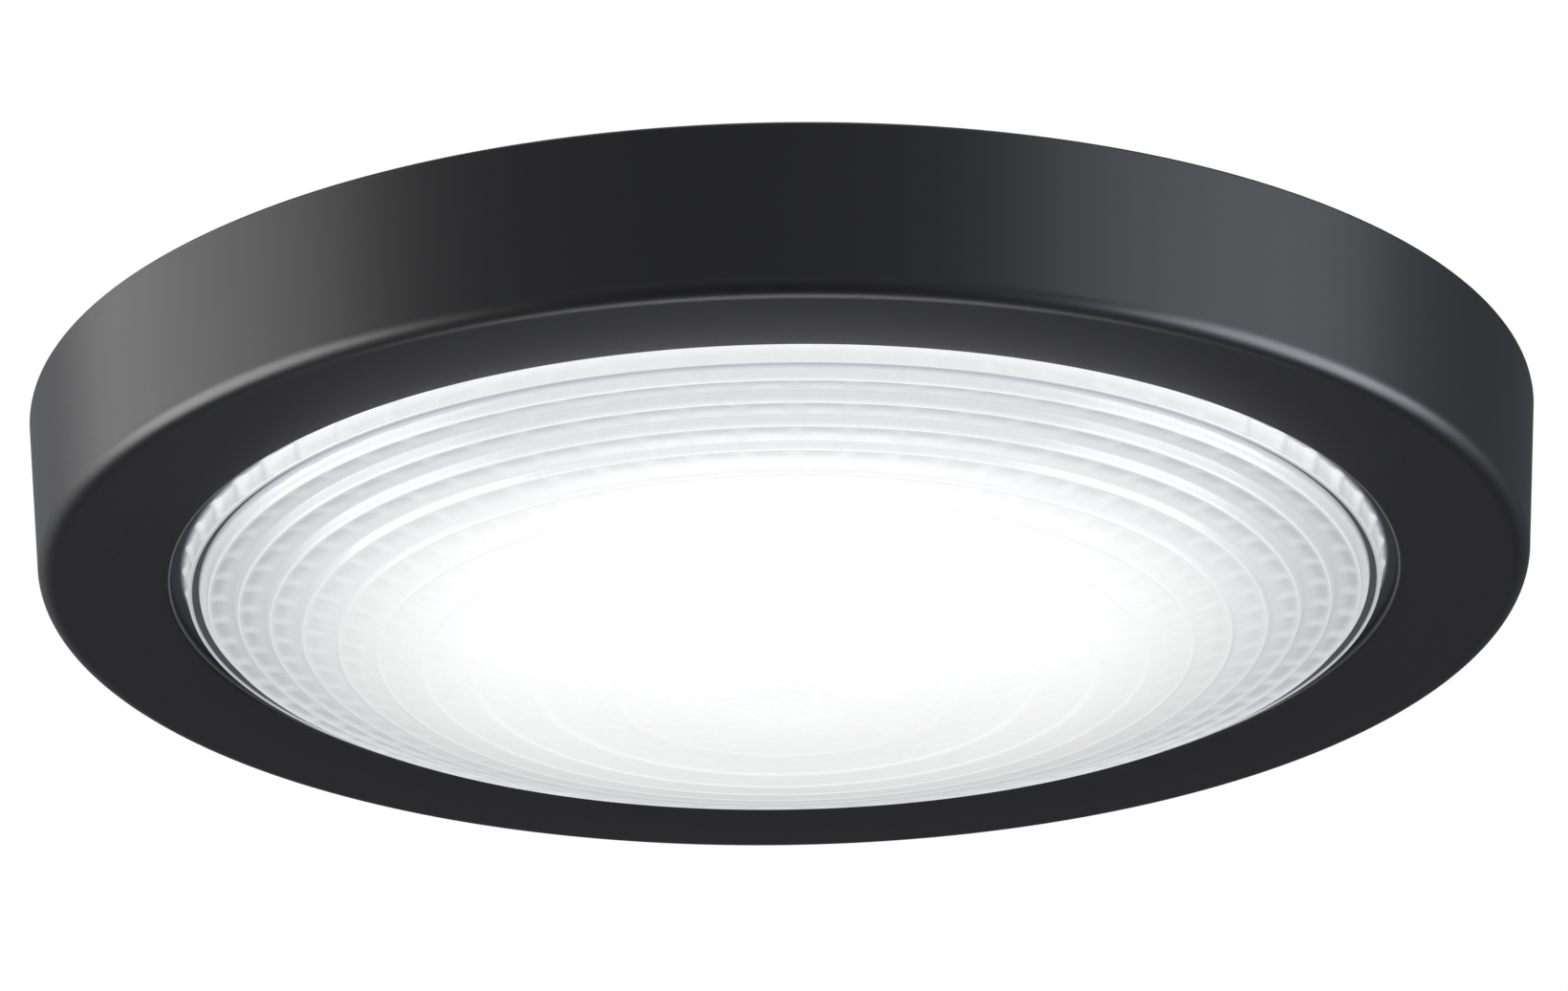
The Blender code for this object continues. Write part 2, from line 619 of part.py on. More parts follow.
def fitter_pan_mesh():
    """The pan: a raised hub face round a well, a plate and a skirt, with beads, stops, holes and notches."""
    rim_centre = (PAN_RADIUS - PAN_RIM_ROUND, PAN_Z - PAN_RIM_ROUND)
    outline = [
        (WIRE_HOLE_RADIUS, PAN_Z),
        (WELL_RADIUS - STEP_WIDTH, PAN_Z),
        (WELL_RADIUS, 0),
        (HUB_RADIUS, 0),
        (HUB_RADIUS + STEP_WIDTH, PAN_Z),
        *arc(rim_centre, PAN_RIM_ROUND, 90, 0, ROUND_STEPS),
        (PAN_RADIUS, SKIRT_Z),
        (PAN_RADIUS - PAN_SHEET, SKIRT_Z),
        (PAN_RADIUS - PAN_SHEET, PAN_UNDER_Z),
        (HUB_RADIUS + STEP_WIDTH, PAN_UNDER_Z),
        (HUB_RADIUS, -PAN_SHEET),
        (WELL_RADIUS, -PAN_SHEET),
        (WELL_RADIUS - STEP_WIDTH, PAN_UNDER_Z),
        (WIRE_HOLE_RADIUS, PAN_UNDER_Z),
    ]
    plate = turned_mesh("pan_plate", outline, WIDE_SEGMENTS)

    bead_start = HUB_RADIUS + STEP_WIDTH
    bead_length = (STANDOFF_CIRCLE_RADIUS - bead_start) * BEAD_LENGTH_SHARE
    bead_outline = slot_outline(bead_length, bead_length * BEAD_WIDTH_SHARE / 2, ROUND_STEPS)
    bead = prism_mesh("bead", bead_outline, PAN_Z - ROOT_DEPTH, PAN_Z + BEAD_HEIGHT)
    beads = spread_mesh("beads", bead, turns(BEAD_COUNT, 0, (bead_start + STANDOFF_CIRCLE_RADIUS) / 2))

    notch_half = TAB_WIDTH / 2 + NOTCH_CLEARANCE
    stop = block_mesh(
        "stop",
        (TAB_INNER_RADIUS, -STOP_WIDTH / 2, PAN_Z - ROOT_DEPTH),
        (PAN_RADIUS - PAN_RIM_ROUND - ROOT_DEPTH, STOP_WIDTH / 2, PAN_Z + STOP_HEIGHT),
    )
    lock_offset = (TAB_WIDTH + STOP_WIDTH) / 2 + GAP
    release_offset = notch_half + STOP_WIDTH / 2 + STOP_MARGIN
    lock_angle = TAB_AZIMUTH + math.degrees(math.asin(lock_offset / TAB_INNER_RADIUS))
    release_angle = TAB_AZIMUTH - TWIST_ANGLE - math.degrees(math.asin(release_offset / TAB_INNER_RADIUS))
    stops = gathered_mesh("stops", [
        spread_mesh("lock_stops", stop, turns(TAB_COUNT, lock_angle)),
        spread_mesh("release_stops", stop, turns(TAB_COUNT, release_angle)),
    ])

    top, bottom = OVERRUN, SKIRT_Z - OVERRUN
    notch = block_mesh(
        "notch",
        (TAB_INNER_RADIUS - NOTCH_CLEARANCE, -notch_half, bottom),
        (PAN_RADIUS + OVERRUN, notch_half, top),
    )
    keyhole = prism_mesh("keyhole", keyhole_outline(), bottom, top)
    keyhole_radius = math.sqrt(KEYHOLE_CIRCLE_RADIUS ** 2 - KEYHOLE_SLOT_LENGTH ** 2)
    vent = prism_mesh("vent", slot_outline(VENT_LENGTH, VENT_WIDTH / 2, ROUND_STEPS), bottom, top)
    spigot_hole = rod_mesh("spigot_hole", SPIGOT_RADIUS + GAP, bottom, top)
    screw_hole = rod_mesh("screw_hole", M4_RADIUS + GAP, bottom, top)
    vent_radius = (STANDOFF_CIRCLE_RADIUS + PAN_RADIUS) / 2
    cuts = [
        spread_mesh("notches", notch, turns(TAB_COUNT, TAB_AZIMUTH - TWIST_ANGLE)),
        spread_mesh("keyholes", keyhole, turns(KEYHOLE_COUNT, KEYHOLE_AZIMUTH, keyhole_radius)),
        spread_mesh("vents", vent, turns(VENT_COUNT, 0, vent_radius)),
        spread_mesh("spigot_holes", spigot_hole, standoff_places()),
        spread_mesh("driver_screw_holes", screw_hole, driver_screw_places()),
        spread_mesh("earth_hole", screw_hole, turns(1, EARTH_AZIMUTH, EARTH_RADIUS)),
    ]
    return shaped_mesh("fitter_pan", plate, add=[beads, stops], cut=[gathered_mesh("pan_cuts", cuts)])


def grommet_mesh():
    """The grommet, with a groove that takes the edge of the pan's wire hole."""
    lip_radius = WIRE_HOLE_RADIUS + GROMMET_LIP
    neck = WIRE_HOLE_RADIUS - GAP
    upper = PAN_Z + GAP
    lower = PAN_UNDER_Z - GAP
    outline = (
        (GROMMET_BORE_RADIUS, upper + GROMMET_LIP_THICKNESS),
        (lip_radius, upper + GROMMET_LIP_THICKNESS),
        (lip_radius, upper),
        (neck, upper),
        (neck, lower),
        (lip_radius, lower),
        (lip_radius, lower - GROMMET_LIP_THICKNESS),
        (GROMMET_BORE_RADIUS, lower - GROMMET_LIP_THICKNESS),
    )
    return turned_mesh("wire_grommet", outline, SMALL_SEGMENTS)


def build_pan(frame):
    """The pan and what sits in it: the grommet and the earth terminal."""
    add_piece("fitter_pan", fitter_pan_mesh(), "pan_paint", frame)
    add_piece("wire_grommet", grommet_mesh(), "black_rubber", frame)
    azimuth = math.radians(EARTH_AZIMUTH)
    x, y = EARTH_RADIUS * math.cos(azimuth), EARTH_RADIUS * math.sin(azimuth)
    washer_top = PAN_UNDER_Z - GAP
    washer = turned_mesh(
        "earth_washer",
        (
            (M4_RADIUS + GAP, 0),
            (EARTH_WASHER_RADIUS, 0),
            (EARTH_WASHER_RADIUS, -EARTH_WASHER_THICKNESS),
            (M4_RADIUS + GAP, -EARTH_WASHER_THICKNESS),
        ),
        SCREW_SEGMENTS,
    )
    add_piece("earth_washer", washer, "zinc_steel", frame, (x, y, washer_top))
    seat = washer_top - EARTH_WASHER_THICKNESS - GAP
    length = PAN_Z + SCREW_TIP - seat
    screw = screw_mesh("earth_screw", M4_RADIUS, length, M4_HEAD_RADIUS, M4_HEAD_HEIGHT)
    add_piece("earth_screw", screw, "green_steel", frame, (x, y, seat))


# LED driver

def ear_holes(low, high):
    """Cutters for the holes of the driver's ears."""
    hole = rod_mesh("ear_hole", M4_RADIUS + GAP, low - OVERRUN, high + OVERRUN)
    return spread_mesh("ear_holes", hole, driver_screw_places())


def driver_lid_mesh():
    """The driver's lid, a plate with an ear at each end for its screw."""
    half, ear = DRIVER_LENGTH / 2, DRIVER_LENGTH / 2 + EAR_LENGTH
    near, far = DRIVER_CENTRE_Y - DRIVER_WIDTH / 2, DRIVER_CENTRE_Y + DRIVER_WIDTH / 2
    ear_near, ear_far = DRIVER_CENTRE_Y - EAR_WIDTH / 2, DRIVER_CENTRE_Y + EAR_WIDTH / 2
    outline = (
        (-half, near), (half, near), (half, ear_near), (ear, ear_near), (ear, ear_far), (half, ear_far),
        (half, far), (-half, far), (-half, ear_far), (-ear, ear_far), (-ear, ear_near), (-half, ear_near),
    )
    plate = prism_mesh("lid_plate", outline, LID_Z, LID_TOP_Z)
    return shaped_mesh("driver_lid", plate, cut=[ear_holes(LID_Z, LID_TOP_Z)])


def terminal_span(side):
    """The corners of a terminal block on the driver's near side, at -X or +X."""
    centre = side * TERMINAL_OFFSET_X
    face = DRIVER_CENTRE_Y - DRIVER_WIDTH / 2 - TERMINAL_PROUD
    low = (centre - TERMINAL_LENGTH / 2, face, PARTS_Z)
    high = (centre + TERMINAL_LENGTH / 2, face + TERMINAL_DEPTH, PARTS_Z + PARTS_HEIGHT)
    return low, high


def driver_case_mesh():
    """The driver's case: an open tray with two ears, bosses for its board and a window for each terminal."""
    half, width = DRIVER_LENGTH / 2, DRIVER_WIDTH / 2
    near, far = DRIVER_CENTRE_Y - width, DRIVER_CENTRE_Y + width
    ear, ear_z = half + EAR_LENGTH, CASE_TOP_Z - DRIVER_WALL
    block = block_mesh("case_block", (-half, near, CASE_Z), (half, far, CASE_TOP_Z))
    ears = block_mesh(
        "case_ears",
        (-ear, DRIVER_CENTRE_Y - EAR_WIDTH / 2, ear_z),
        (ear, DRIVER_CENTRE_Y + EAR_WIDTH / 2, CASE_TOP_Z),
    )
    hollow = block_mesh(
        "case_hollow",
        (-half + DRIVER_WALL, near + DRIVER_WALL, CASE_Z + DRIVER_WALL),
        (half - DRIVER_WALL, far - DRIVER_WALL, CASE_TOP_Z + OVERRUN),
    )
    windows = []
    for side in (-1, 1):
        low, high = terminal_span(side)
        windows.append(block_mesh(
            "window",
            (low[0] - GAP, near - OVERRUN, low[2] - GAP),
            (high[0] + GAP, near + DRIVER_WALL + GAP, CASE_TOP_Z + OVERRUN),
        ))
    holes = ear_holes(ear_z, CASE_TOP_Z)
    tray = shaped_mesh("case_tray", block, add=[ears], cut=[hollow, gathered_mesh("windows", windows), holes])
    inset = DRIVER_WALL + DRIVER_BOARD_MARGIN + BOSS_RADIUS
    floor = CASE_Z + DRIVER_WALL
    boss = rod_mesh("boss", BOSS_RADIUS, floor - ROOT_DEPTH, floor + BOSS_HEIGHT)
    places = [
        Matrix.Translation((x * (half - inset), DRIVER_CENTRE_Y + y * (width - inset), 0))
        for x in (-1, 1) for y in (-1, 1)
    ]
    return shaped_mesh("driver_case", tray, add=[spread_mesh("bosses", boss, places)])


def wire_entries(name, x_face, y_face, z, direction, pitch):
    """Cutters for two round wire entries: into +Y at a Y face, or into +X at an X face."""
    rod = rod_mesh(name, WIRE_ENTRY_RADIUS, -OVERRUN, WIRE_ENTRY_DEPTH)
    places = []
    for side in (-1, 1):
        if direction == "Y":
            spot = Vector((x_face + side * pitch / 2, y_face, z))
            places.append(Matrix.Translation(spot) @ Matrix.Rotation(math.radians(-90), 4, "X"))
        else:
            spot = Vector((x_face, y_face + side * pitch / 2, z))
            places.append(Matrix.Translation(spot) @ Matrix.Rotation(math.radians(90), 4, "Y"))
    return spread_mesh(name, rod, places)


def terminal_mesh(name, side):
    """A two-way terminal block at the driver's near side."""
    low, high = terminal_span(side)
    block = block_mesh(name, low, high)
    middle = (low[2] + high[2]) / 2
    entries = wire_entries("entries", (low[0] + high[0]) / 2, low[1], middle, "Y", TERMINAL_PITCH)
    return shaped_mesh(name, block, cut=[entries])


def transformer_mesh():
    """The transformer: its core, and the winding that stands out of it on both sides."""
    core_width_share, core_height_share = 0.6, 0.8
    winding_length_share = 0.7
    length, width = TRANSFORMER_LENGTH / 2, TRANSFORMER_WIDTH / 2
    core = block_mesh("core", (-length, -width * core_width_share, 0),
                      (length, width * core_width_share, PARTS_HEIGHT * core_height_share))
    winding = block_mesh("winding", (-length * winding_length_share, -width, GAP),
                         (length * winding_length_share, width, PARTS_HEIGHT))
    return shaped_mesh("transformer", core, add=[winding])


def choke_mesh():
    """The choke: a drum core with a waist where it is wound."""
    waist_share, cheek_share = 0.85, 0.15
    waist, cheek = CHOKE_RADIUS * waist_share, PARTS_HEIGHT * cheek_share
    outline = (
        (0, 0), (CHOKE_RADIUS, 0), (CHOKE_RADIUS, cheek), (waist, cheek), (waist, PARTS_HEIGHT - cheek),
        (CHOKE_RADIUS, PARTS_HEIGHT - cheek), (CHOKE_RADIUS, PARTS_HEIGHT), (0, PARTS_HEIGHT),
    )
    return turned_mesh("choke", outline, SCREW_SEGMENTS)


def capacitor_mesh(name, radius, length):
    """An electrolytic capacitor along Z, with the crimped groove near its foot."""
    groove = radius * CAPACITOR_GROOVE_SHARE
    outline = (
        (0, 0), (radius, 0), (radius, groove), (radius - groove, 2 * groove), (radius, 3 * groove),
        (radius, length), (0, length),
    )
    return turned_mesh(name, outline, SCREW_SEGMENTS)


def build_driver(frame):
    """The LED driver under the pan: its lid and case, its board and the parts on it."""
    add_piece("driver_lid", driver_lid_mesh(), "zinc_steel", frame)
    add_piece("driver_case", driver_case_mesh(), "white_plastic", frame)
    half = DRIVER_LENGTH / 2 - DRIVER_WALL - DRIVER_BOARD_MARGIN
    width = DRIVER_WIDTH / 2 - DRIVER_WALL - DRIVER_BOARD_MARGIN
    board = block_mesh(
        "driver_board",
        (-half, DRIVER_CENTRE_Y - width, DRIVER_BOARD_Z),
        (half, DRIVER_CENTRE_Y + width, DRIVER_BOARD_Z + DRIVER_BOARD_THICKNESS),
    )
    add_piece("driver_board", board, "green_laminate", frame)
    add_piece("input_terminal", terminal_mesh("input_terminal", 1), "white_plastic", frame)
    add_piece("output_terminal", terminal_mesh("output_terminal", -1), "white_plastic", frame)

    row_share, bulk_share, choke_share, output_share = 0.33, 0.45, 0.75, -0.55
    row = DRIVER_CENTRE_Y + width * row_share
    add_piece("transformer", transformer_mesh(), "ferrite", frame, (0, row, PARTS_Z))
    add_piece("choke", choke_mesh(), "ferrite", frame, (half * choke_share, row, PARTS_Z))
    capacitor = capacitor_mesh("output_capacitor", OUTPUT_CAPACITOR_RADIUS, PARTS_HEIGHT)
    add_piece("output_capacitor", capacitor, "dark_sleeve", frame, (half * output_share, row, PARTS_Z))
    bulk = capacitor_mesh("bulk_capacitor", PARTS_HEIGHT / 2, BULK_CAPACITOR_LENGTH)
    lying = (math.radians(-90), 0, 0)
    place = (half * bulk_share, row - BULK_CAPACITOR_LENGTH / 2, PARTS_Z + PARTS_HEIGHT / 2)
    add_piece("bulk_capacitor", bulk, "dark_sleeve", frame, place, lying)

    seat = CASE_TOP_Z - DRIVER_WALL - GAP
    screw = screw_mesh("driver_screw", M4_RADIUS, PAN_Z + SCREW_TIP - seat, M4_HEAD_RADIUS, M4_HEAD_HEIGHT)
    add_round("driver_screw", screw, "zinc_steel", frame, driver_screw_places(), seat)


# Light engine

def plate_screw_holes(low, high):
    """Cutters for the holes of the plate screws."""
    hole = rod_mesh("plate_screw_hole", PLATE_SCREW_RADIUS + GAP, low, high)
    return spread_mesh("plate_screw_holes", hole, standoff_places())


def board_screw_places():
    """Where the LED board's screws stand."""
    return turns(BOARD_SCREW_COUNT, BOARD_SCREW_AZIMUTH, BOARD_RADIUS * BOARD_SCREW_CIRCLE_SHARE)


def board_screw_holes(low, high):
    """Cutters for the holes of the LED board's screws."""
    hole = rod_mesh("board_screw_hole", BOARD_SCREW_RADIUS + GAP, low, high)
    return spread_mesh("board_screw_holes", hole, board_screw_places())


def standoff_mesh():
    """A standoff, its shoulder at the origin, with a spigot above and a screw hole in its foot."""
    shoulder = PAN_UNDER_Z - GAP
    foot = PLATE_TOP_Z + GAP - shoulder
    hole = PLATE_SCREW_RADIUS + GAP
    outline = (
        (0, PAN_Z - shoulder),
        (SPIGOT_RADIUS, PAN_Z - shoulder),
        (SPIGOT_RADIUS, 0),
        (STANDOFF_RADIUS, 0),
        (STANDOFF_RADIUS, foot),
        (hole, foot),
        (hole, foot + PLATE_SCREW_GRIP + GAP),
        (0, foot + PLATE_SCREW_GRIP + GAP),
    )
    return turned_mesh("standoff", outline, SCREW_SEGMENTS)


def heat_plate_mesh():
    """The heat plate, a disc with an upturned rim, a hole for the leads and its screw holes."""
    outline = (
        (LEAD_HOLE_RADIUS, PLATE_TOP_Z),
        (PLATE_RADIUS - PLATE_THICKNESS, PLATE_TOP_Z),
        (PLATE_RADIUS - PLATE_THICKNESS, PLATE_TOP_Z + PLATE_RIM_HEIGHT),
        (PLATE_RADIUS, PLATE_TOP_Z + PLATE_RIM_HEIGHT),
        (PLATE_RADIUS, PLATE_Z),
        (LEAD_HOLE_RADIUS, PLATE_Z),
    )
    disc = turned_mesh("heat_disc", outline, MIDDLE_SEGMENTS)
    low, high = PLATE_Z - OVERRUN, PLATE_TOP_Z + OVERRUN
    holes = gathered_mesh("heat_plate_holes", [plate_screw_holes(low, high), board_screw_holes(low, high)])
    return shaped_mesh("heat_plate", disc, cut=[holes])


def led_board_mesh():
    """The LED board with its rings of chips underneath."""
    disc = flat_ring_mesh("board_disc", LEAD_HOLE_RADIUS, BOARD_RADIUS, BOARD_Z, BOARD_TOP_Z, MIDDLE_SEGMENTS)
    chip = block_mesh(
        "chip",
        (-LED_LENGTH / 2, -LED_WIDTH / 2, BOARD_Z - LED_HEIGHT),
        (LED_LENGTH / 2, LED_WIDTH / 2, BOARD_Z + ROOT_DEPTH),
    )
    chips = []
    for share, count in zip(LED_RING_SHARES, LED_RING_COUNTS):
        places = turns(count, 180 / count, BOARD_RADIUS * share)
        chips.append(spread_mesh("chip_ring", chip, places))
    holes = board_screw_holes(BOARD_Z - OVERRUN, BOARD_TOP_Z + OVERRUN)
    return shaped_mesh("led_board", disc, add=[gathered_mesh("chips", chips)], cut=[holes])


def reflector_mesh():
    """The reflector, a flat seat under the heat plate and a cone that reaches down to the lens flange."""
    seat_in = STANDOFF_CIRCLE_RADIUS - REFLECTOR_SEAT_IN
    knee = STANDOFF_CIRCLE_RADIUS + REFLECTOR_SEAT_OUT
    edge = OPENING_RADIUS - REFLECTOR_INSET
    edge_top = REFLECTOR_TOP_Z - REFLECTOR_DROP
    outline = (
        (seat_in, REFLECTOR_TOP_Z),
        (knee, REFLECTOR_TOP_Z),
        (edge, edge_top),
        (edge, edge_top - REFLECTOR_SHEET),
        (knee, REFLECTOR_TOP_Z - REFLECTOR_SHEET),
        (seat_in, REFLECTOR_TOP_Z - REFLECTOR_SHEET),
    )
    cone = turned_mesh("reflector_cone", outline, MIDDLE_SEGMENTS)
    low, high = edge_top - OVERRUN, REFLECTOR_TOP_Z + OVERRUN
    return shaped_mesh("reflector", cone, cut=[plate_screw_holes(low, high)])


def diffuser_mesh():
    """The opal diffuser, a dish with a flange that the plate screws hold."""
    flange = STANDOFF_CIRCLE_RADIUS + REFLECTOR_SEAT_OUT - DIFFUSER_FLANGE_MARGIN
    flange_low = DIFFUSER_TOP_Z - DIFFUSER_SHEET
    inner = DIFFUSER_RADIUS - DIFFUSER_SHEET
    rim = flange_low - DIFFUSER_WALL_DEPTH
    outside = dome_points(DIFFUSER_RADIUS, rim, DIFFUSER_CROWN, DOME_STEPS)
    inside = dome_points(inner, rim + DIFFUSER_SHEET, DIFFUSER_CROWN, DOME_STEPS)
    outline = [
        (inner, DIFFUSER_TOP_Z),
        (flange, DIFFUSER_TOP_Z),
        (flange, flange_low),
        (DIFFUSER_RADIUS, flange_low),
        *outside,
        *reversed(inside),
    ]
    dish = turned_mesh("diffuser_dish", outline, MIDDLE_SEGMENTS)
    holes = plate_screw_holes(flange_low - OVERRUN, DIFFUSER_TOP_Z + OVERRUN)
    return shaped_mesh("diffuser", dish, cut=[holes])


def connector_mesh():
    """The LED board's two-way connector, under the board beside the hole for the leads."""
    top = BOARD_Z - GAP
    low = (CONNECTOR_X, -CONNECTOR_WIDTH / 2, top - CONNECTOR_HEIGHT)
    high = (CONNECTOR_X + CONNECTOR_LENGTH, CONNECTOR_WIDTH / 2, top)
    block = block_mesh("connector_block", low, high)
    entries = wire_entries("entries", CONNECTOR_X, 0, top - CONNECTOR_HEIGHT / 2, "X", TERMINAL_PITCH)
    return shaped_mesh("board_connector", block, cut=[entries])


def lead_spots(side):
    """The points that a lead passes, from the driver's terminal to the LED board's connector."""
    seat_share, sag_share, hole_share = 0.75, 0.2, 0.42
    halfway_share, near_share, approach_share = 0.45, 0.85, 0.3
    offset = side * TERMINAL_PITCH / 2
    low, high = terminal_span(-1)
    entry = Vector(((low[0] + high[0]) / 2 + offset, low[1], (low[2] + high[2]) / 2))
    socket = Vector((CONNECTOR_X, offset, BOARD_Z - GAP - CONNECTOR_HEIGHT / 2))
    along_y, along_x = Vector((0, 1, 0)), Vector((1, 0, 0))
    leaving = entry - along_y * LEAD_STRAIGHT
    crossing = Vector((-LEAD_HOLE_RADIUS * hole_share, offset, PLATE_Z))
    above = crossing + Vector((-LEAD_BEND_ROOM / 3, LEAD_BEND_ROOM / 3, LEAD_BEND_ROOM))
    halfway = leaving.lerp(above, halfway_share)
    halfway.z = leaving.z - (leaving.z - above.z) * sag_share
    near = leaving.lerp(above, near_share)
    near.z = (halfway.z + above.z) / 2
    below = Vector((0, offset, (socket.z + BOARD_Z) / 2))
    return (
        entry + along_y * WIRE_ENTRY_DEPTH * seat_share,
        entry,
        leaving,
        halfway,
        near,
        above,
        crossing,
        below,
        Vector((socket.x * approach_share, socket.y, socket.z)),
        socket - along_x * LEAD_STRAIGHT / 2,
        socket + along_x * WIRE_ENTRY_DEPTH * seat_share,
    )


def smooth_route(spots):
    """Points read from one smooth curve through a lead's spots."""
    ends = [spots[0] * 2 - spots[1], *spots, spots[-1] * 2 - spots[-2]]
    route = []
    for index in range(LEAD_POINT_COUNT):
        along = (len(spots) - 1) * index / (LEAD_POINT_COUNT - 1)
        leg = min(int(along), len(spots) - 2)
        t = along - leg
        before, start, end, after = ends[leg:leg + 4]
        route.append((
            start * 2
            + (end - before) * t
            + (before * 2 - start * 5 + end * 4 - after) * t ** 2
            + (start * 3 - before - end * 3 + after) * t ** 3
        ) / 2)
    return route


def add_lead(name, side, finish, frame):
    """A lead, a round tube that passes through its spots."""
    curve = bpy.data.curves.new(name, "CURVE")
    curve.dimensions = "3D"
    curve.bevel_depth = LEAD_RADIUS
    curve.bevel_resolution = 2
    curve.use_fill_caps = True
    points = smooth_route(lead_spots(side))
    line = curve.splines.new("POLY")
    line.points.add(len(points) - 1)
    for spot, point in zip(line.points, points):
        spot.co = (*point, 1)
    curve.materials.append(finish_material(finish))
    lead = bpy.data.objects.new(name, curve)
    lead.parent = frame
    bpy.context.scene.collection.objects.link(lead)


def build_light_engine(frame):
    """The standoffs, heat plate, LED board, reflector and diffuser, their screws and the two leads."""
    add_round("standoff", standoff_mesh(), "aluminium", frame, standoff_places(), PAN_UNDER_Z - GAP)
    add_piece("heat_plate", heat_plate_mesh(), "aluminium", frame)
    pad_low = PAD_TOP_Z - PAD_THICKNESS
    pad_inner, pad_outer = LEAD_HOLE_RADIUS + PAD_INSET, BOARD_RADIUS - PAD_INSET
    pad = flat_ring_mesh("pad_ring", pad_inner, pad_outer, pad_low, PAD_TOP_Z, SMALL_SEGMENTS)
    holes = board_screw_holes(pad_low - OVERRUN, PAD_TOP_Z + OVERRUN)
    add_piece("thermal_pad", shaped_mesh("thermal_pad", pad, cut=[holes]), "thermal_pad", frame)
    add_piece("led_board", led_board_mesh(), "white_board", frame)
    add_piece("board_connector", connector_mesh(), "white_plastic", frame)
    add_piece("reflector", reflector_mesh(), "white_paint", frame)
    add_piece("diffuser", diffuser_mesh(), "opal_acrylic", frame)

    seat = BOARD_Z - GAP
    length = PLATE_TOP_Z + SCREW_TIP - seat
    head = (BOARD_SCREW_HEAD_RADIUS, BOARD_SCREW_HEAD_HEIGHT)
    screw = screw_mesh("board_screw", BOARD_SCREW_RADIUS, length, *head)
    add_round("board_screw", screw, "zinc_steel", frame, board_screw_places(), seat)
    seat = DIFFUSER_TOP_Z - DIFFUSER_SHEET - GAP
    length = PLATE_TOP_Z + GAP + PLATE_SCREW_GRIP - seat
    head = (PLATE_SCREW_HEAD_RADIUS, PLATE_SCREW_HEAD_HEIGHT)
    screw = screw_mesh("plate_screw", PLATE_SCREW_RADIUS, length, *head)
    add_round("plate_screw", screw, "zinc_steel", frame, standoff_places(), seat)

    add_lead("red_lead", -1, "red_insulation", frame)
    add_lead("black_lead", 1, "black_insulation", frame)


def main():
    """Clears the scene and builds the light kit."""
    for obj in list(bpy.data.objects):
        bpy.data.objects.remove(obj)
    fixed = add_frame("fixed_frame")
    build_pan(fixed)
    build_driver(fixed)
    build_light_engine(fixed)
    build_trim(add_frame("twist_axis"))


main()
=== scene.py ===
"""The looks of a ceiling fan light kit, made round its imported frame.

The trim housing, the lens, the pan and what shows in them get finer meshes than the frame's solids have,
and every piece gets a finish. Lengths are written in millimetres and turned to metres once.
"""

import logging
from collections.abc import Iterable, Sequence
from dataclasses import dataclass
from enum import Enum
from math import asin, cos, degrees, pi, radians, sin, sqrt, tau
from typing import Any

import bmesh
import bpy
from bmesh.types import BMesh, BMVert
from bpy.types import Material, Mesh, Node, NodeSocket, NodeTree
from mathutils import Euler, Matrix, Vector


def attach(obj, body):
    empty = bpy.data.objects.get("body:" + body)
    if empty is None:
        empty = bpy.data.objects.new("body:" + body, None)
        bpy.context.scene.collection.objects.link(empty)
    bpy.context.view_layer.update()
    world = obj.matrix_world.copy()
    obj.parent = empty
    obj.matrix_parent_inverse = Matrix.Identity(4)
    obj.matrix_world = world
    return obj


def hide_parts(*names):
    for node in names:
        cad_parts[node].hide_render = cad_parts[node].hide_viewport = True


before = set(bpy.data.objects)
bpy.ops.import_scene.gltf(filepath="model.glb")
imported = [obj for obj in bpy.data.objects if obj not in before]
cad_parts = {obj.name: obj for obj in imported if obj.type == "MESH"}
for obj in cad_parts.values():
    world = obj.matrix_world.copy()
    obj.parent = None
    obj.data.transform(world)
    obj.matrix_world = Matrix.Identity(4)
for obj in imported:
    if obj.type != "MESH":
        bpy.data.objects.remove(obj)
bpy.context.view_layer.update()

MM = 0.001
LOG = logging.getLogger("light_kit")
# A wave texture runs through this many radians in each unit, at a scale of 1
WAVE_RATE = 20.0

Point = tuple[float, float]
Outline = list[Point]
Colour = tuple[float, float, float, float]


class Body(Enum):
    PAN = "fixed_pan"
    TRIM = "trim_assembly"
    CLIP_1 = "clip_arm_1"
    CLIP_2 = "clip_arm_2"
    CLIP_3 = "clip_arm_3"


# Colours and nodes

def linear(hex_colour: str) -> Colour:
    """Turns an sRGB colour to linear light.

    Args:
        hex_colour: six hex digits.

    Returns:
        Red, green, blue and an alpha of 1.
    """
    parts = [int(hex_colour[at:at + 2], 16) / 255 for at in (0, 2, 4)]
    red, green, blue = (p / 12.92 if p <= 0.04045 else ((p + 0.055) / 1.055) ** 2.4 for p in parts)
    return red, green, blue, 1.0


WHITE = linear("ffffff")


def fill(tree: NodeTree, node: Node, inputs: dict[int | str, Any]) -> None:
    """Gives inputs of a node their values, or links other nodes' sockets to them."""
    for name, value in inputs.items():
        if isinstance(value, NodeSocket):
            tree.links.new(value, node.inputs[name])
        else:
            node.inputs[name].default_value = value


def add_node(
    tree: NodeTree,
    kind: str,
    settings: dict[str, Any] | None = None,
    inputs: dict[int | str, Any] | None = None,
) -> Node:
    """Adds a node, sets it and links it.

    Args:
        tree: the node tree that gets it.
        kind: the node's type, without its ShaderNode prefix.
        settings: its own properties.
        inputs: a value or another node's socket for each of its inputs.

    Returns:
        The new node.
    """
    node = tree.nodes.new("ShaderNode" + kind)
    for name, value in (settings or {}).items():
        setattr(node, name, value)
    fill(tree, node, inputs or {})
    return node


def times(tree: NodeTree, first: NodeSocket, second: NodeSocket | float, clamp: bool = False) -> NodeSocket:
    """Multiplies two values."""
    settings = {"operation": "MULTIPLY", "use_clamp": clamp}
    return add_node(tree, "Math", settings, {0: first, 1: second}).outputs["Value"]


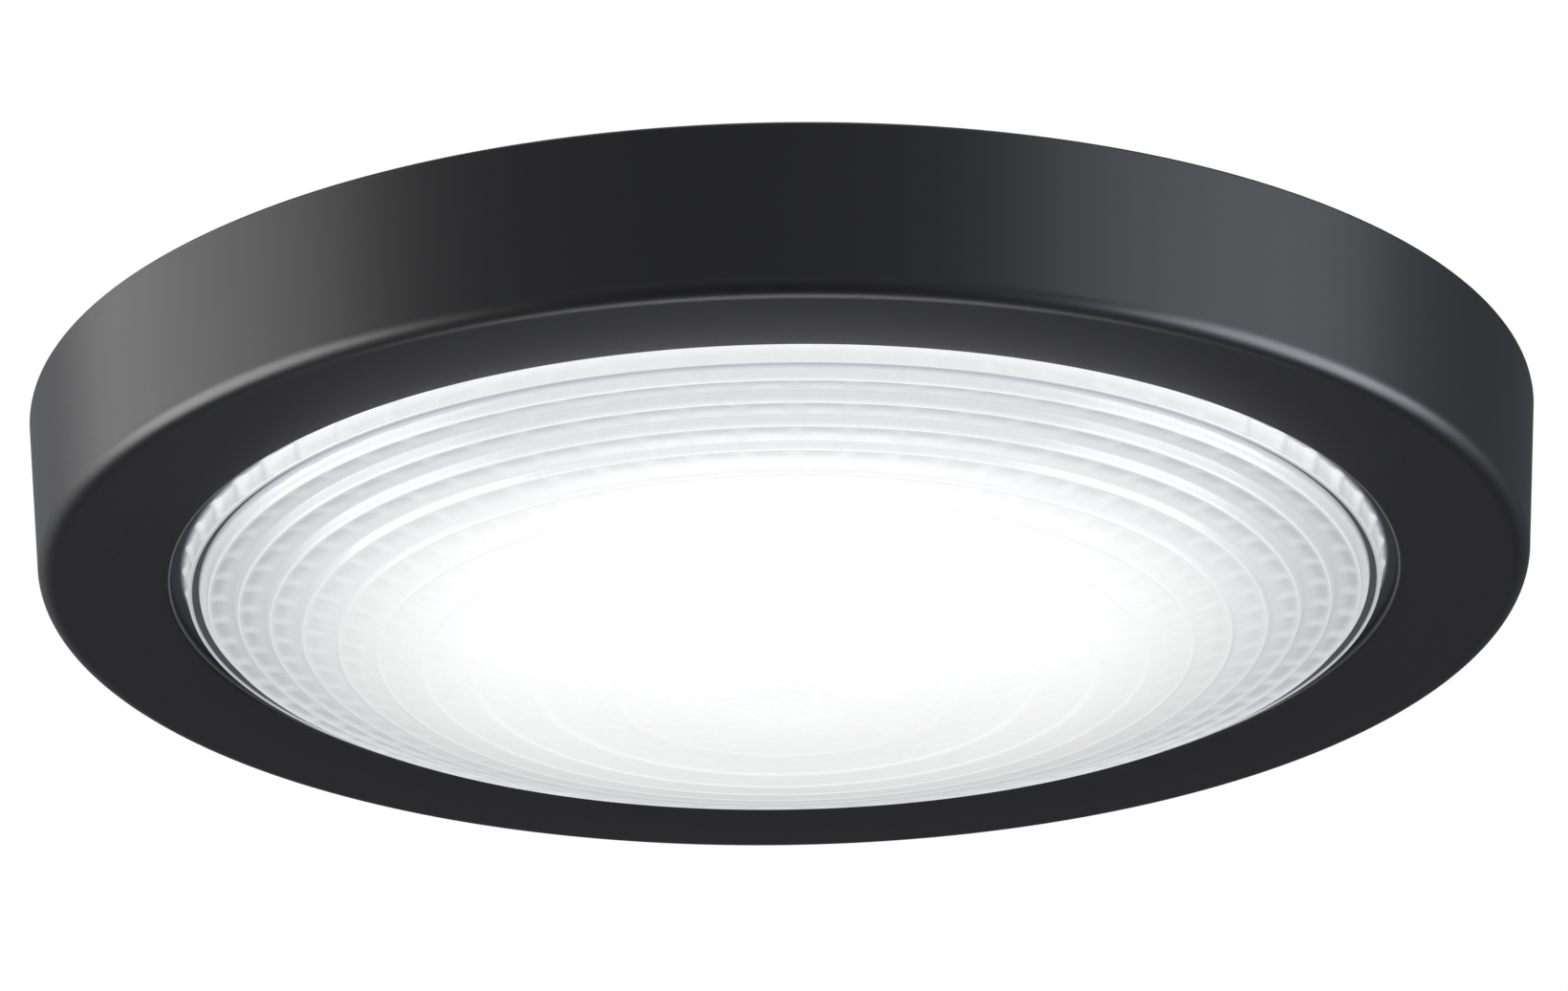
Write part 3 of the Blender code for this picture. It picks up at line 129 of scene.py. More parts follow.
def ranged(tree: NodeTree, value: NodeSocket, before: Point, after: Point) -> NodeSocket:
    """Takes a value from one range to another."""
    return add_node(tree, "MapRange", inputs={
        "Value": value, "From Min": before[0], "From Max": before[1], "To Min": after[0], "To Max": after[1],
    }).outputs["Result"]


# Finishes

@dataclass(frozen=True)
class Finish:
    """A finish whose grain shows in its colour, its gloss and its relief."""

    name: str
    colour: str
    hollow: str
    roughness: float
    roughness_spread: float = 0.08
    metallic: float = 0.0
    grain: float = 0.8
    relief: float = 0.02
    stretch: tuple[float, float, float] = (1.0, 1.0, 1.0)
    specular: float = 0.5
    # Painted light: a glow for parts that the kit's LEDs light, though they are no lamps
    glow: float = 0.0

    def material(self) -> Material:
        """Gives the finish's material, made the first time that it is asked for."""
        found = bpy.data.materials.get(self.name)
        if found:
            return found
        material = bpy.data.materials.new(self.name)
        material.use_nodes = True
        tree = material.node_tree
        shader = tree.nodes["Principled BSDF"]
        fill(tree, shader, {
            "Metallic": self.metallic, "Specular IOR Level": self.specular,
            "Emission Color": WHITE, "Emission Strength": self.glow,
        })
        self.pattern(tree, shader, add_node(tree, "TexCoord").outputs["Object"])
        return material

    def pattern(self, tree: NodeTree, shader: Node, place: NodeSocket) -> None:
        """Draws the grain at a place on the piece."""
        self.shade(tree, shader, self.noise(tree, place, 3.0))

    def noise(self, tree: NodeTree, place: NodeSocket, detail: float, roughness: float = 0.5) -> NodeSocket:
        """Draws noise at the size of the grain, stretched."""
        stretched = add_node(tree, "Mapping", inputs={"Vector": place, "Scale": self.stretch})
        return add_node(tree, "TexNoise", inputs={
            "Vector": stretched.outputs["Vector"], "Scale": 1 / (self.grain * MM),
            "Detail": detail, "Roughness": roughness,
        }).outputs["Fac"]

    def shade(self, tree: NodeTree, shader: Node, grain: NodeSocket) -> None:
        """Lets a height from 0 to 1 set the colour, the gloss and the relief.

        Args:
            tree: the material's nodes.
            shader: its Principled shader.
            grain: the height, 0 in the hollows and 1 on top.
        """
        colour = add_node(tree, "Mix", {"data_type": "RGBA"}, {
            "Factor": grain, "A": linear(self.hollow), "B": linear(self.colour),
        })
        dull, glossy = self.roughness + self.roughness_spread, self.roughness - self.roughness_spread
        bump = add_node(tree, "Bump", inputs={
            "Height": grain, "Strength": 1.0, "Distance": self.relief * MM,
        })
        fill(tree, shader, {
            "Base Color": colour.outputs["Result"], "Normal": bump.outputs["Normal"],
            "Roughness": ranged(tree, grain, (0.0, 1.0), (dull, glossy)),
        })


@dataclass(frozen=True)
class SpangledZinc(Finish):
    """Zinc plate, whose crystals show as faint patches in a brushed sheen."""

    crystal: float = 6.0
    patch_floor: float = 0.3
    patch_spread: float = 0.45
    contrast: float = 2.2

    def pattern(self, tree: NodeTree, shader: Node, place: NodeSocket) -> None:
        """Draws brushed lines over patches of crystal."""
        patches = add_node(tree, "TexVoronoi", inputs={
            "Vector": place, "Scale": 1 / (self.crystal * MM),
        })
        share = add_node(tree, "Math", {"operation": "MULTIPLY_ADD"}, {
            0: patches.outputs["Color"], 1: self.patch_spread, 2: self.patch_floor,
        })
        grain = times(tree, share.outputs["Value"], self.noise(tree, place, 2.0))
        self.shade(tree, shader, times(tree, grain, self.contrast, clamp=True))


@dataclass(frozen=True)
class WovenLaminate(Finish):
    """Glass-fibre laminate, whose cloth shows through its mask in squares."""

    square: float = 5.65487

    def pattern(self, tree: NodeTree, shader: Node, place: NodeSocket) -> None:
        """Draws the two sets of threads, crossing."""
        waves = [
            add_node(tree, "TexWave", {"bands_direction": way}, {
                "Vector": place, "Scale": tau / (WAVE_RATE * self.square * MM), "Distortion": 0.4,
            }).outputs["Fac"]
            for way in ("X", "Y")
        ]
        self.shade(tree, shader, times(tree, *waves))


@dataclass(frozen=True)
class LitGlass(Finish):
    """Pressed lens glass with the light on behind it.

    The glow is painted light in place of the LEDs' light shining through the glass. The mesh's gathered
    attribute paints its light and shade for each ring, crest and root: painted shade in the groove, the coves
    and the flutes' hollows, and painted highlights on the crests, ribs and wall lobes. The glow is painted
    dimmer at a grazing angle, and that is what draws the rings and the flutes.
    """

    # The glow's colour where its painted light is low: a painted shade tint
    shadow_tint: str = "d9dcec"
    square_on: float = 0.41
    grazing: float = 0.45
    unevenness: float = 0.025

    def pattern(self, tree: NodeTree, shader: Node, place: NodeSocket) -> None:
        """Lets the gathered painted light and shade out of the glass as a glow, painted dimmer at grazing
        angles.
        """
        gathered = add_node(tree, "Attribute", {"attribute_name": "gathered"}).outputs["Fac"]
        tint = add_node(tree, "Mix", {"data_type": "RGBA"}, {
            "Factor": gathered, "A": linear(self.shadow_tint), "B": WHITE,
        })
        turned_away = add_node(tree, "LayerWeight", inputs={"Blend": 0.5}).outputs["Facing"]
        # Painted shade: the glow is dimmer where the glass is seen at a grazing angle
        painted_grazing_shade = ranged(tree, turned_away, (self.square_on, 1.0), (1.0, self.grazing))
        swirl = self.noise(tree, place, 4.0, 0.7)
        level = ranged(tree, swirl, (0.3, 0.7), (1 - self.unevenness, 1 + self.unevenness))
        strength = times(tree, times(tree, gathered, painted_grazing_shade), level)
        bump = add_node(tree, "Bump", inputs={
            "Height": swirl, "Strength": 1.0, "Distance": self.relief * MM,
        })
        fill(tree, shader, {
            "Base Color": linear(self.colour), "Roughness": self.roughness,
            "Emission Color": tint.outputs["Result"], "Emission Strength": strength,
            "Normal": bump.outputs["Normal"],
        })


# Powder-coated steel: baked dust that levels to a satin orange peel, with a fine sparkle in side light.
SATIN_BLACK = Finish(
    "powder_coated_steel_satin_black", "131315", "101012", 0.38, 0.05, grain=0.7, relief=0.008, specular=0.45,
)
# Sprayed pan paint: thinner and rougher than powder, so it looks matt and a little dusty.
MATT_BLACK = Finish("sprayed_steel_matt_black", "2b2b2d", "222224", 0.6, grain=0.9)
# Pressed glass: smooth outside, with soft swirls where the melt cooled in the mould, and a painted glow for
# the light behind it.
LENS_GLASS = LitGlass(
    "pressed_soda_lime_glass", "26282b", "26282b", 0.24, specular=0.25, grain=2.4, relief=0.05,
)
# Silicone rubber: cut from sheet, dull and slightly cloudy.
SILICONE = Finish("silicone_rubber_grey", "a3a3a0", "8f8f8c", 0.7, 0.05, grain=0.5, relief=0.015)
# Moulded EPDM rubber: dead black, with the mould's fine spark grain.
RUBBER = Finish("moulded_epdm_rubber", "242424", "191919", 0.75, 0.06, grain=0.4)
# Zinc-plated steel: cold grey, faintly patched, with a soft brushed sheen.
ZINC = SpangledZinc(
    "zinc_plated_steel", "d2d5d8", "a9adb1", 0.34, 0.07, metallic=1.0, grain=0.5, relief=0.006,
    stretch=(1.0, 6.0, 6.0),
)
# Green passivated steel: the earth screw's colour code, oily green over metal.
GREEN_STEEL = SpangledZinc(
    "green_passivated_steel", "3f8f4d", "2c6e3a", 0.36, 0.06, metallic=0.8, grain=0.4, relief=0.006,
    crystal=2.0,
)
# Mill-finish aluminium: pale, with the rolling lines that sheet keeps.
ALUMINIUM = Finish(
    "mill_finish_aluminium", "dadbdc", "c3c5c7", 0.36, 0.09, metallic=1.0, grain=1.2, relief=0.006,
    stretch=(0.12, 3.0, 3.0),
)
# Thermal pad: filled silicone, chalky blue-grey and quite matt.
PAD = Finish("filled_silicone_pad", "9aa9b8", "8696a6", 0.85, 0.05, grain=0.6)
# White solder mask on aluminium: bright, semi-gloss, slightly uneven where it was screened.
BOARD = Finish("white_solder_mask", "efeee6", "e2e1da", 0.45, 0.06, grain=1.5, relief=0.006)
# White baked enamel: clean and half matt, made to spread light, with a painted glow for the LEDs' light that
# it spreads.
ENAMEL = Finish("white_baked_enamel", "f2f2f0", "e8e8e6", 0.5, 0.06, relief=0.01, glow=0.25)
# Opal acrylic: milky, glossy outside, lit from behind, which its painted glow stands for.
OPAL = Finish("opal_acrylic", "f4f5f7", "eceef2", 0.32, 0.04, grain=3.0, relief=0.004, glow=0.3)
# Moulded nylon: warm white with the fine spark grain of its tool.
NYLON = Finish("moulded_nylon_white", "e6e5dd", "d8d7cf", 0.48, 0.06, grain=0.5, relief=0.012)
# Glass-fibre laminate: green mask over woven cloth.
LAMINATE = WovenLaminate("fr4_laminate_green", "2f7d47", "1f6336", 0.4, 0.05, relief=0.01)
# Sintered ferrite: charcoal ceramic, dull, with a dry grain.
FERRITE = Finish("sintered_ferrite", "4c4c50", "37373a", 0.65, grain=0.5)
# PVC shrink sleeve: deep blue-black and glossy, drawn tight.
SLEEVE = Finish("pvc_shrink_sleeve", "2a2c44", "222438", 0.3, 0.05, grain=1.5, relief=0.01)
# Extruded PVC insulation: even and waxy, with faint draw lines.
RED_WIRE = Finish("extruded_pvc_red", "bb2a2a", "a62222", 0.38, 0.04, relief=0.006)
BLACK_WIRE = Finish("extruded_pvc_black", "26262a", "1d1d20", 0.38, 0.04, relief=0.006)


# Meshes

def shown(name: str, data: bpy.types.ID) -> bpy.types.Object:
    """Adds a new object to the scene."""
    obj = bpy.data.objects.new(name, data)
    bpy.context.scene.collection.objects.link(obj)
    return obj


def eased(value: float) -> float:
    """Holds a value between 0 and 1 and eases both ends."""
    share = min(max(value, 0.0), 1.0)
    return share * share * (3 - 2 * share)


def between(start: Point, end: Point, share: float) -> Point:
    """Gives the point that lies a share of the way from one point to another."""
    return start[0] + (end[0] - start[0]) * share, start[1] + (end[1] - start[1]) * share


def arc(centre: Point, radius: float, start: float, end: float, steps: int) -> Outline:
    """Gives the points of an arc between two angles in degrees, both ends included."""
    angles = [radians(start + (end - start) * step / steps) for step in range(steps + 1)]
    return [(centre[0] + radius * cos(a), centre[1] + radius * sin(a)) for a in angles]


def slot_outline(length: float, radius: float, steps: int) -> Outline:
    """Gives a slot with round ends, along X and centred on the origin."""
    reach = length / 2 - radius
    return arc((reach, 0), radius, -90, 90, steps) + arc((-reach, 0), radius, 90, 270, steps)


def finished(name: str, build: BMesh) -> Mesh:
    """Makes a mesh from a bmesh in millimetres, with its faces turned outwards."""
    bmesh.ops.recalc_face_normals(build, faces=build.faces)
    bmesh.ops.scale(build, vec=(MM, MM, MM), verts=build.verts)
    mesh = bpy.data.meshes.new(name)
    build.to_mesh(mesh)
    build.free()
    return mesh


def skin(build: BMesh, rings: Sequence[Sequence[BMVert]]) -> None:
    """Joins each ring of vertices to the next with faces, and the last ring to the first.

    Args:
        build: the bmesh that holds the vertices.
        rings: rings of equal length, or of one vertex on the axis.
    """
    segments = max(len(ring) for ring in rings)
    for ring, following in zip(rings, [*rings[1:], rings[0]]):
        if len(ring) == 1 and len(following) == 1:
            continue
        for index in range(segments):
            after = (index + 1) % segments
            corners = (
                ring[index % len(ring)], ring[after % len(ring)],
                following[after % len(following)], following[index % len(following)],
            )
            build.faces.new(list(dict.fromkeys(corners)))


def turned(name: str, outline: Sequence[Point], segments: int) -> Mesh:
    """Turns a closed outline about Z.

    Args:
        name: the mesh's name.
        outline: (radius, height) points in millimetres.
        segments: how many steps the turn has.

    Returns:
        The closed mesh.
    """
    build = bmesh.new()
    rings = []
    for radius, height in outline:
        count = segments if radius > 0 else 1
        angles = [2 * pi * index / count for index in range(count)]
        rings.append([build.verts.new((radius * cos(a), radius * sin(a), height)) for a in angles])
    skin(build, rings)
    return finished(name, build)


def stacked(name: str, layers: Iterable[tuple[Outline, float]]) -> Mesh:
    """Joins outlines of equally many (x, y) points, each at its height, into a closed solid."""
    build = bmesh.new()
    rings = [[build.verts.new((x, y, height)) for x, y in outline] for outline, height in layers]
    build.faces.new(rings[0])
    build.faces.new(rings[-1])
    for lower, upper in zip(rings, rings[1:]):
        for index in range(len(lower)):
            after = (index + 1) % len(lower)
            build.faces.new((lower[index], lower[after], upper[after], upper[index]))
    return finished(name, build)


def prism(name: str, outline: Outline, low: float, high: float) -> Mesh:
    """Raises a closed outline of (x, y) points from one height to another."""
    return stacked(name, [(outline, low), (outline, high)])


def block(name: str, low: Sequence[float], high: Sequence[float]) -> Mesh:
    """Makes a block between two corners."""
    outline = [(low[0], low[1]), (high[0], low[1]), (high[0], high[1]), (low[0], high[1])]
    return prism(name, outline, low[2], high[2])


def rod(name: str, radius: float, low: float, high: float, segments: int = 32) -> Mesh:
    """Makes a round rod along Z."""
    return turned(name, ((0, low), (radius, low), (radius, high), (0, high)), segments)


def turns(count: int, first: float = 0.0, radius: float = 0.0, height: float = 0.0) -> list[Matrix]:
    """Gives places spaced evenly round Z, the first at an azimuth in degrees, lengths in millimetres."""
    return [
        Matrix.Rotation(radians(first + 360 * index / count), 4, "Z")
        @ Matrix.Translation((radius * MM, 0, height * MM))
        for index in range(count)
    ]


def gathered_meshes(name: str, meshes: Iterable[tuple[Mesh, Iterable[Matrix]]]) -> Mesh:
    """Gathers copies of meshes into one.

    Args:
        name: the new mesh's name.
        meshes: each mesh with the places of its copies.

    Returns:
        The one mesh.
    """
    build = bmesh.new()
    for mesh, places in meshes:
        for place in places:
            start = len(build.verts)
            build.from_mesh(mesh)
            build.verts.ensure_lookup_table()
            bmesh.ops.transform(build, matrix=place, verts=build.verts[start:])
    gathered = bpy.data.meshes.new(name)
    build.to_mesh(gathered)
    build.free()
    return gathered


def shaped(
    name: str, mesh: Mesh, add: Iterable[Mesh] = (),
    within: Iterable[Mesh] = (), cut: Iterable[Mesh] = (),
) -> Mesh:
    """Joins meshes to a mesh, trims it to others, and then cuts others out of it.

    Args:
        name: the new mesh's name.
        mesh: the mesh to start from.
        add: what is joined to it.
        within: what it is trimmed to.
        cut: what is cut out of it.

    Returns:
        The shaped mesh.
    """
    base = shown(name + "_base", mesh)
    tools = []
    for operation, others in (("UNION", add), ("INTERSECT", within), ("DIFFERENCE", cut)):
        for other in others:
            tool = shown(name + "_tool", other)
            modifier = base.modifiers.new(operation.lower(), "BOOLEAN")
            modifier.operation = operation
            modifier.solver = "EXACT"
            modifier.object = tool
            tools.append(tool)
    bpy.context.view_layer.update()
    graph = bpy.context.evaluated_depsgraph_get()
    result = bpy.data.meshes.new_from_object(base.evaluated_get(graph), depsgraph=graph)
    result.name = name
    for obj in (base, *tools):
        bpy.data.objects.remove(obj)
    return result


def place_piece(
    name: str, mesh: Mesh, finish: Finish, body: Body, replaces: Sequence[str],
    place: Matrix | None = None, smooth: float = 30.0,
) -> None:
    """Args:
        name: the piece's name.
        mesh: its mesh.
        finish: its finish.
        body: the body that it rides on.
        replaces: the frame's nodes that it stands for.
        place: where a copy of the mesh goes, if the mesh isn't in its place already.
        smooth: edges under this angle, in degrees, look round.
    """
    if place:
        mesh = gathered_meshes(name, [(mesh, [place])])
    mesh.materials.append(finish.material())
    mesh.shade_smooth()
    mesh.set_sharp_from_angle(angle=radians(smooth))
    piece = shown(name, mesh)
    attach(piece, body.value)
    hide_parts(*replaces)
    LOG.info("%s: %d faces on %s", name, len(mesh.polygons), body.value)


def dress(finish: Finish, *nodes: str) -> None:
    """Gives the frame's own nodes a finish.

    Args:
        finish: the finish.
        nodes: the nodes' names.
    """
    for node in nodes:
        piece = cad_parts[node]
        piece.data.materials.clear()
        piece.data.materials.append(finish.material())
        LOG.info("%s: dressed in %s", node, finish.name)


# Trim assembly

# What the housing shares with the pan and the clips: its bayonet tabs, and the circle of the clip screws
TAB_AZIMUTH, TAB_WIDTH, TAB_INNER = 30.0, 12.0, 142.13
CLIP_CIRCLE = 140.433


@dataclass
class TrimHousing:
    """The drum with its flat ring, its hem, its bayonet tabs and the posts of the clips."""

    radius: float = 150.0
    draft: float = 1.95
    rim: float = -1.0
    face: float = -36.0
    sheet: float = 1.2
    edge_round: float = 4.0
    opening: float = 123.6
    hem_round: float = 0.9
    hem_top: float = -33.7
    tab_low: float = -3.7
    post_radius: float = 4.0
    post_bore: float = 2.3
    post_top: float = -30.2
    post_root: float = 0.4
    post_fillet: float = 0.6
    post_chamfer: float = 0.3
    wall_supports: tuple[float, ...] = (0.01, 0.03, 0.5, 0.98)
    segments: int = 288

    def wall(self, height: float) -> float:
        """Gives the wall's inside radius at a height."""
        return self.radius - self.sheet + self.draft * (height - self.face) / (self.rim - self.face)

    def drum(self) -> Mesh:
        """Turns the drum: wall, round edge, flat ring and hem, with points that keep its shading even."""
        seat = self.face + self.sheet
        lean = self.draft * self.edge_round / (self.rim - self.face)
        edge_centre = (self.radius - self.edge_round + lean, self.face + self.edge_round)
        inner_round = self.edge_round - self.sheet
        corner = (self.wall(seat) - inner_round, seat + inner_round)
        lip = self.sheet / 2
        rim_centre = (self.radius + self.draft - lip, self.rim - lip)
        top = (self.radius + self.draft, self.rim - lip)
        foot = (self.radius + lean, self.face + self.edge_round)
        hem_centre = (self.opening + self.hem_round, self.face + self.hem_round)
        outline = [
            *arc(rim_centre, lip, 180, 0, 8),
            *(between(top, foot, share) for share in self.wall_supports),
            *arc(edge_centre, self.edge_round, 0, -90, 16),
            *arc(hem_centre, self.hem_round, -90, -180, 8),
            (self.opening, self.hem_top),
            (self.opening + self.sheet, self.hem_top),
            (self.opening + self.sheet, seat),
            *arc(corner, inner_round, -90, 0, 8),
        ]
        return turned("trim_drum", outline, self.segments)

    def tab(self) -> Mesh:
        """Makes a bayonet tab with rounded corners, along X."""
        outer, half, corner = self.wall(self.tab_low) + self.sheet / 2, TAB_WIDTH / 2, 2.0
        outline = [
            (outer, -half), (outer, half),
            *arc((TAB_INNER + corner, half - corner), corner, 90, 180, 6),
            *arc((TAB_INNER + corner, corner - half), corner, 180, 270, 6),
        ]
        return prism("bayonet_tab", outline, self.tab_low, self.tab_low + self.sheet)

    def post(self) -> Mesh:
        """Turns a post with its screw hole and a small fillet at its foot."""
        seat = self.face + self.sheet
        root, foot = seat - self.post_root, seat + self.post_fillet
        outline = [
            (0, root), (self.post_radius, root), (self.post_radius, seat),
            *arc((self.post_radius + self.post_fillet, foot), self.post_fillet, 270, 180, 4),
            (self.post_radius, self.post_top - self.post_chamfer),
            (self.post_radius - self.post_chamfer, self.post_top),
            (self.post_bore, self.post_top), (self.post_bore, foot), (0, foot),
        ]
        return turned("clip_post", outline, 40)

    def build(self) -> None:
        """Makes the housing and stands it in for its node."""
        mesh = gathered_meshes("trim_housing_skin", (
            (self.drum(), [Matrix.Identity(4)]),
            (self.tab(), turns(3, TAB_AZIMUTH)),
            (self.post(), turns(3, 90, CLIP_CIRCLE)),
        ))
        place_piece("trim_housing_skin", mesh, SATIN_BLACK, Body.TRIM, ["trim_housing"])


@dataclass(frozen=True)
class GlassRing:
    """A ring of the lens's surface, in millimetres: its painted light and shade, and what the flutes do to
    it.
    """

    radius: float
    height: float
    light: float
    rib_painted_light: float = 1.0
    inward: float = 0.0
    upward: float = 0.0


# Down the lens's wall: the share of its height, and the painted light, a painted highlight near the top
WALL = ((0.3, 1.1), (0.45, 1.05), (0.6, 1.0), (0.8, 1.0), (0.93, 1.0))
# Over the wall's crest and through the groove: how far in, how far up, and the painted light, which paints
# the groove dark as painted shade
GROOVE = (
    (-0.05, 0.25, 1.04), (0.05, 0.05, 1.0), (0.2, 0.0, 0.9), (0.75, 0.0, 0.7), (0.9, 0.05, 0.12),
    (1.0, 0.9, 0.12), (2.1, 0.95, 0.12), (2.25, 0.75, 0.6), (2.4, -0.1, 0.9), (2.7, 0.0, 0.98),
)
# Across a tread from its crest: the share of its width, the rise, the flutes' depth, and the painted light,
# with painted shade in the cove
TREAD = (
    (0.0, 0.0, 0.0, 0.98), (0.07, 0.04, 0.3, 0.9), (0.15, 0.12, 0.9, 0.82), (0.27, 0.22, 1.0, 0.78),
    (0.42, 0.29, 0.9, 0.82), (0.55, 0.31, 0.6, 0.87), (0.66, 0.29, 0.35, 0.89), (0.77, 0.22, 0.15, 0.89),
    (0.89, 0.12, 0.0, 0.88), (1.0, -0.02, 0.0, 0.87),
)
# Down a riser: the share of its height, and the painted light
RISER = ((0.0, 0.9), (0.25, 0.89), (0.5, 0.89), (0.75, 0.92))


@dataclass
class RibbedLens:
    """The pressed lens: a flange, a lobed wall, a groove, and a dome of rings whose treads are fluted."""

    top: float = -30.2
    flange: float = 132.0
    seat: float = -33.2
    chamfer: float = 0.4
    wall_top: float = 121.1
    crests: tuple[Point, ...] = (
        (120.0, -37.9), (116.0, -40.0), (110.0, -42.2), (103.6, -44.5), (97.0, -46.8), (89.8, -48.9),
        (82.0, -51.1), (73.0, -53.3), (62.6, -55.5), (50.0, -57.7), (33.0, -59.9),
    )
    strengths: tuple[float, ...] = (0.5, 1.0, 0.85, 0.6, 0.34, 0.18, 0.09, 0.05, 0.03, 0.02, 0.0)
    lowest: float = -61.78
    crest_width: float = 0.4
    groove_width: float = 2.8
    first_fall: float = -0.2
    riser_lean: float = 0.75
    root_round: Point = (0.12, 0.3)
    riser_foot: Point = (0.03, 0.35)
    cove: float = 0.9
    flutes: int = 61
    steps_per_flute: int = 10
    rib: float = 0.03
    flank: float = 0.24
    flute_depth: float = 0.32
    lobe_depth: float = 0.8
    inner: float = 116.0
    inner_level: float = -34.5
    inner_base: float = 121.05
    inner_dome: float = 319.5
    inner_steps: int = 16
    # Painted light: the glass's glow, and painted highlights on the crests, the ribs and the wall lobes
    glow_edge: float = 0.84
    glow_full: float = 1.2
    glow_start: float = 118.0
    glow_run: float = 64.0
    crest_painted_highlight: float = 0.08
    rib_painted_highlight: float = 0.17
    wall_painted_highlight: float = 0.02

    def glow(self, radius: float) -> float:
        """Gives the glass's painted glow at a radius: full over the lamp board, and less towards the edge."""
        share = eased((self.glow_start - radius) / self.glow_run)
        return self.glow_edge + (self.glow_full - self.glow_edge) * share

    def hollow(self, index: int) -> float:
        """Gives a flute's shape: 0 on the rib between two flutes and 1 on a flute's flat bottom."""
        phase = index / self.steps_per_flute % 1
        return eased((min(phase, 1 - phase) - self.rib) / self.flank)

    def inside(self, radius: float) -> GlassRing:
        """Gives a ring of the smooth dome inside the glass."""
        base = sqrt(self.inner_dome ** 2 - self.inner_base ** 2)
        depth = sqrt(self.inner_dome ** 2 - radius ** 2) - base
        return GlassRing(radius, self.inner_level - depth, 0.5)

    def wall(self) -> list[GlassRing]:
        """Lists the wall under the flange, its crest, and the groove inside it."""
        crest = self.crests[0]
        # The gap by the flange is painted nearly dark as painted shade, and the wall's top gets a painted
        # highlight
        rings = [
            GlassRing(self.wall_top + 0.6, self.seat, 0.05),
            GlassRing(self.wall_top + 0.15, self.seat - 0.15, 0.25),
            GlassRing(self.wall_top, self.seat - 0.6, 1.05, inward=self.lobe_depth),
        ]
        for share, light in WALL:
            reach, height = between((self.wall_top, self.seat), crest, share)
            lobe = self.lobe_depth * (1 - 0.6 * share)
            rings.append(GlassRing(reach, height, light, 1 + self.wall_painted_highlight, lobe))
        return rings + [GlassRing(crest[0] - over, crest[1] + up, light) for over, up, light in GROOVE]

    def step(self, index: int) -> list[GlassRing]:
        """Lists one step of the dome: its coved and fluted tread, and the riser to the next crest.

        Args:
            index: which crest the step starts from. The first tread starts inside the groove.

        Returns:
            The rings of the step, whose shape and painted light and shade are weaker towards the middle of
            the lens.
        """
        (radius, level), (following, below) = self.crests[index:index + 2]
        strength = self.strengths[index]
        fall = (below - level) * (1 - strength) if index else self.first_fall
        start = (radius - (self.crest_width if index else self.groove_width), level)
        root = (following + self.riser_lean, level + fall)
        rings = []
        for share, rise, part, light in TREAD:
            reach, height = between(start, root, share)
            rings.append(GlassRing(
                reach, height + rise * self.cove * strength, 1 + (light - 1) * strength,
                1 + self.rib_painted_highlight * part * strength, upward=self.flute_depth * part * strength,
            ))
        high = (root[0] - self.root_round[0], root[1] - self.root_round[1] * strength)
        low = (following + self.riser_foot[0], below + self.riser_foot[1] * strength)
        for share, light in RISER:
            rings.append(GlassRing(*between(high, low, share), 1 + (light - 1) * strength))
        return rings

    def profile(self) -> list[GlassRing]:
        """Lists the outside from the flange to the centre."""
        rings = self.wall()
        for index, (radius, level) in enumerate(self.crests):
            strength = self.strengths[index]
            if index and strength:
                # Each crest gets a painted highlight
                rings += [
                    GlassRing(radius + 0.06, level + 0.35 * strength, 1.0),
                    GlassRing(radius - 0.04, level + 0.1 * strength, 1 + self.crest_painted_highlight * strength),
                    GlassRing(radius - 0.3, level, 1 + self.crest_painted_highlight * strength),
                ]
            elif index:
                rings.append(GlassRing(radius, level, 1.0))
            if index + 1 < len(self.crests) and strength:
                rings += self.step(index)
        return rings

    def mesh(self) -> Mesh:
        """Makes the lens as a closed solid, with the painted light and shade of each point in its gathered
        attribute.
        """
        edge = self.flange - self.chamfer
        # The flange and its edges are painted nearly dark as painted shade, and the inside dome at half light
        rows = [
            GlassRing(self.inner, self.top, 0.3), GlassRing(edge, self.top, 0.05),
            GlassRing(self.flange, self.top - self.chamfer, 0.05),
            GlassRing(self.flange, self.seat + self.chamfer, 0.05), GlassRing(edge, self.seat, 0.03),
            *self.profile(),
            GlassRing(20.0, self.lowest + 0.15, 1.0), GlassRing(10.0, self.lowest, 1.0),
            GlassRing(0.0, self.lowest, 1.0),
            *(self.inside(self.inner * step / self.inner_steps) for step in range(self.inner_steps + 1)),
        ]
        build = bmesh.new()
        gathered = build.verts.layers.float.new("gathered")
        rings = []
        for row in rows:
            count = self.flutes * self.steps_per_flute if row.radius > 0 else 1
            ring = []
            for index in range(count):
                angle = 2 * pi * index / count
                hollow = self.hollow(index)
                reach, level = row.radius - row.inward * hollow, row.height + row.upward * hollow
                vert = build.verts.new((reach * cos(angle), reach * sin(angle), level))
                # Painted highlights on the ribs and painted shade in the flutes' hollows, times the painted
                # glow
                fluted = row.rib_painted_light + (1 - row.rib_painted_light) * hollow
                vert[gathered] = self.glow(row.radius) * row.light * fluted
                ring.append(vert)
            rings.append(ring)
        skin(build, rings)
        return finished("ribbed_lens_glass", build)

    def build(self) -> None:
        """Makes the lens and stands it in for its node."""
        name = "ribbed_lens_glass"
        place_piece(name, self.mesh(), LENS_GLASS, Body.TRIM, ["lens"], smooth=60.0)


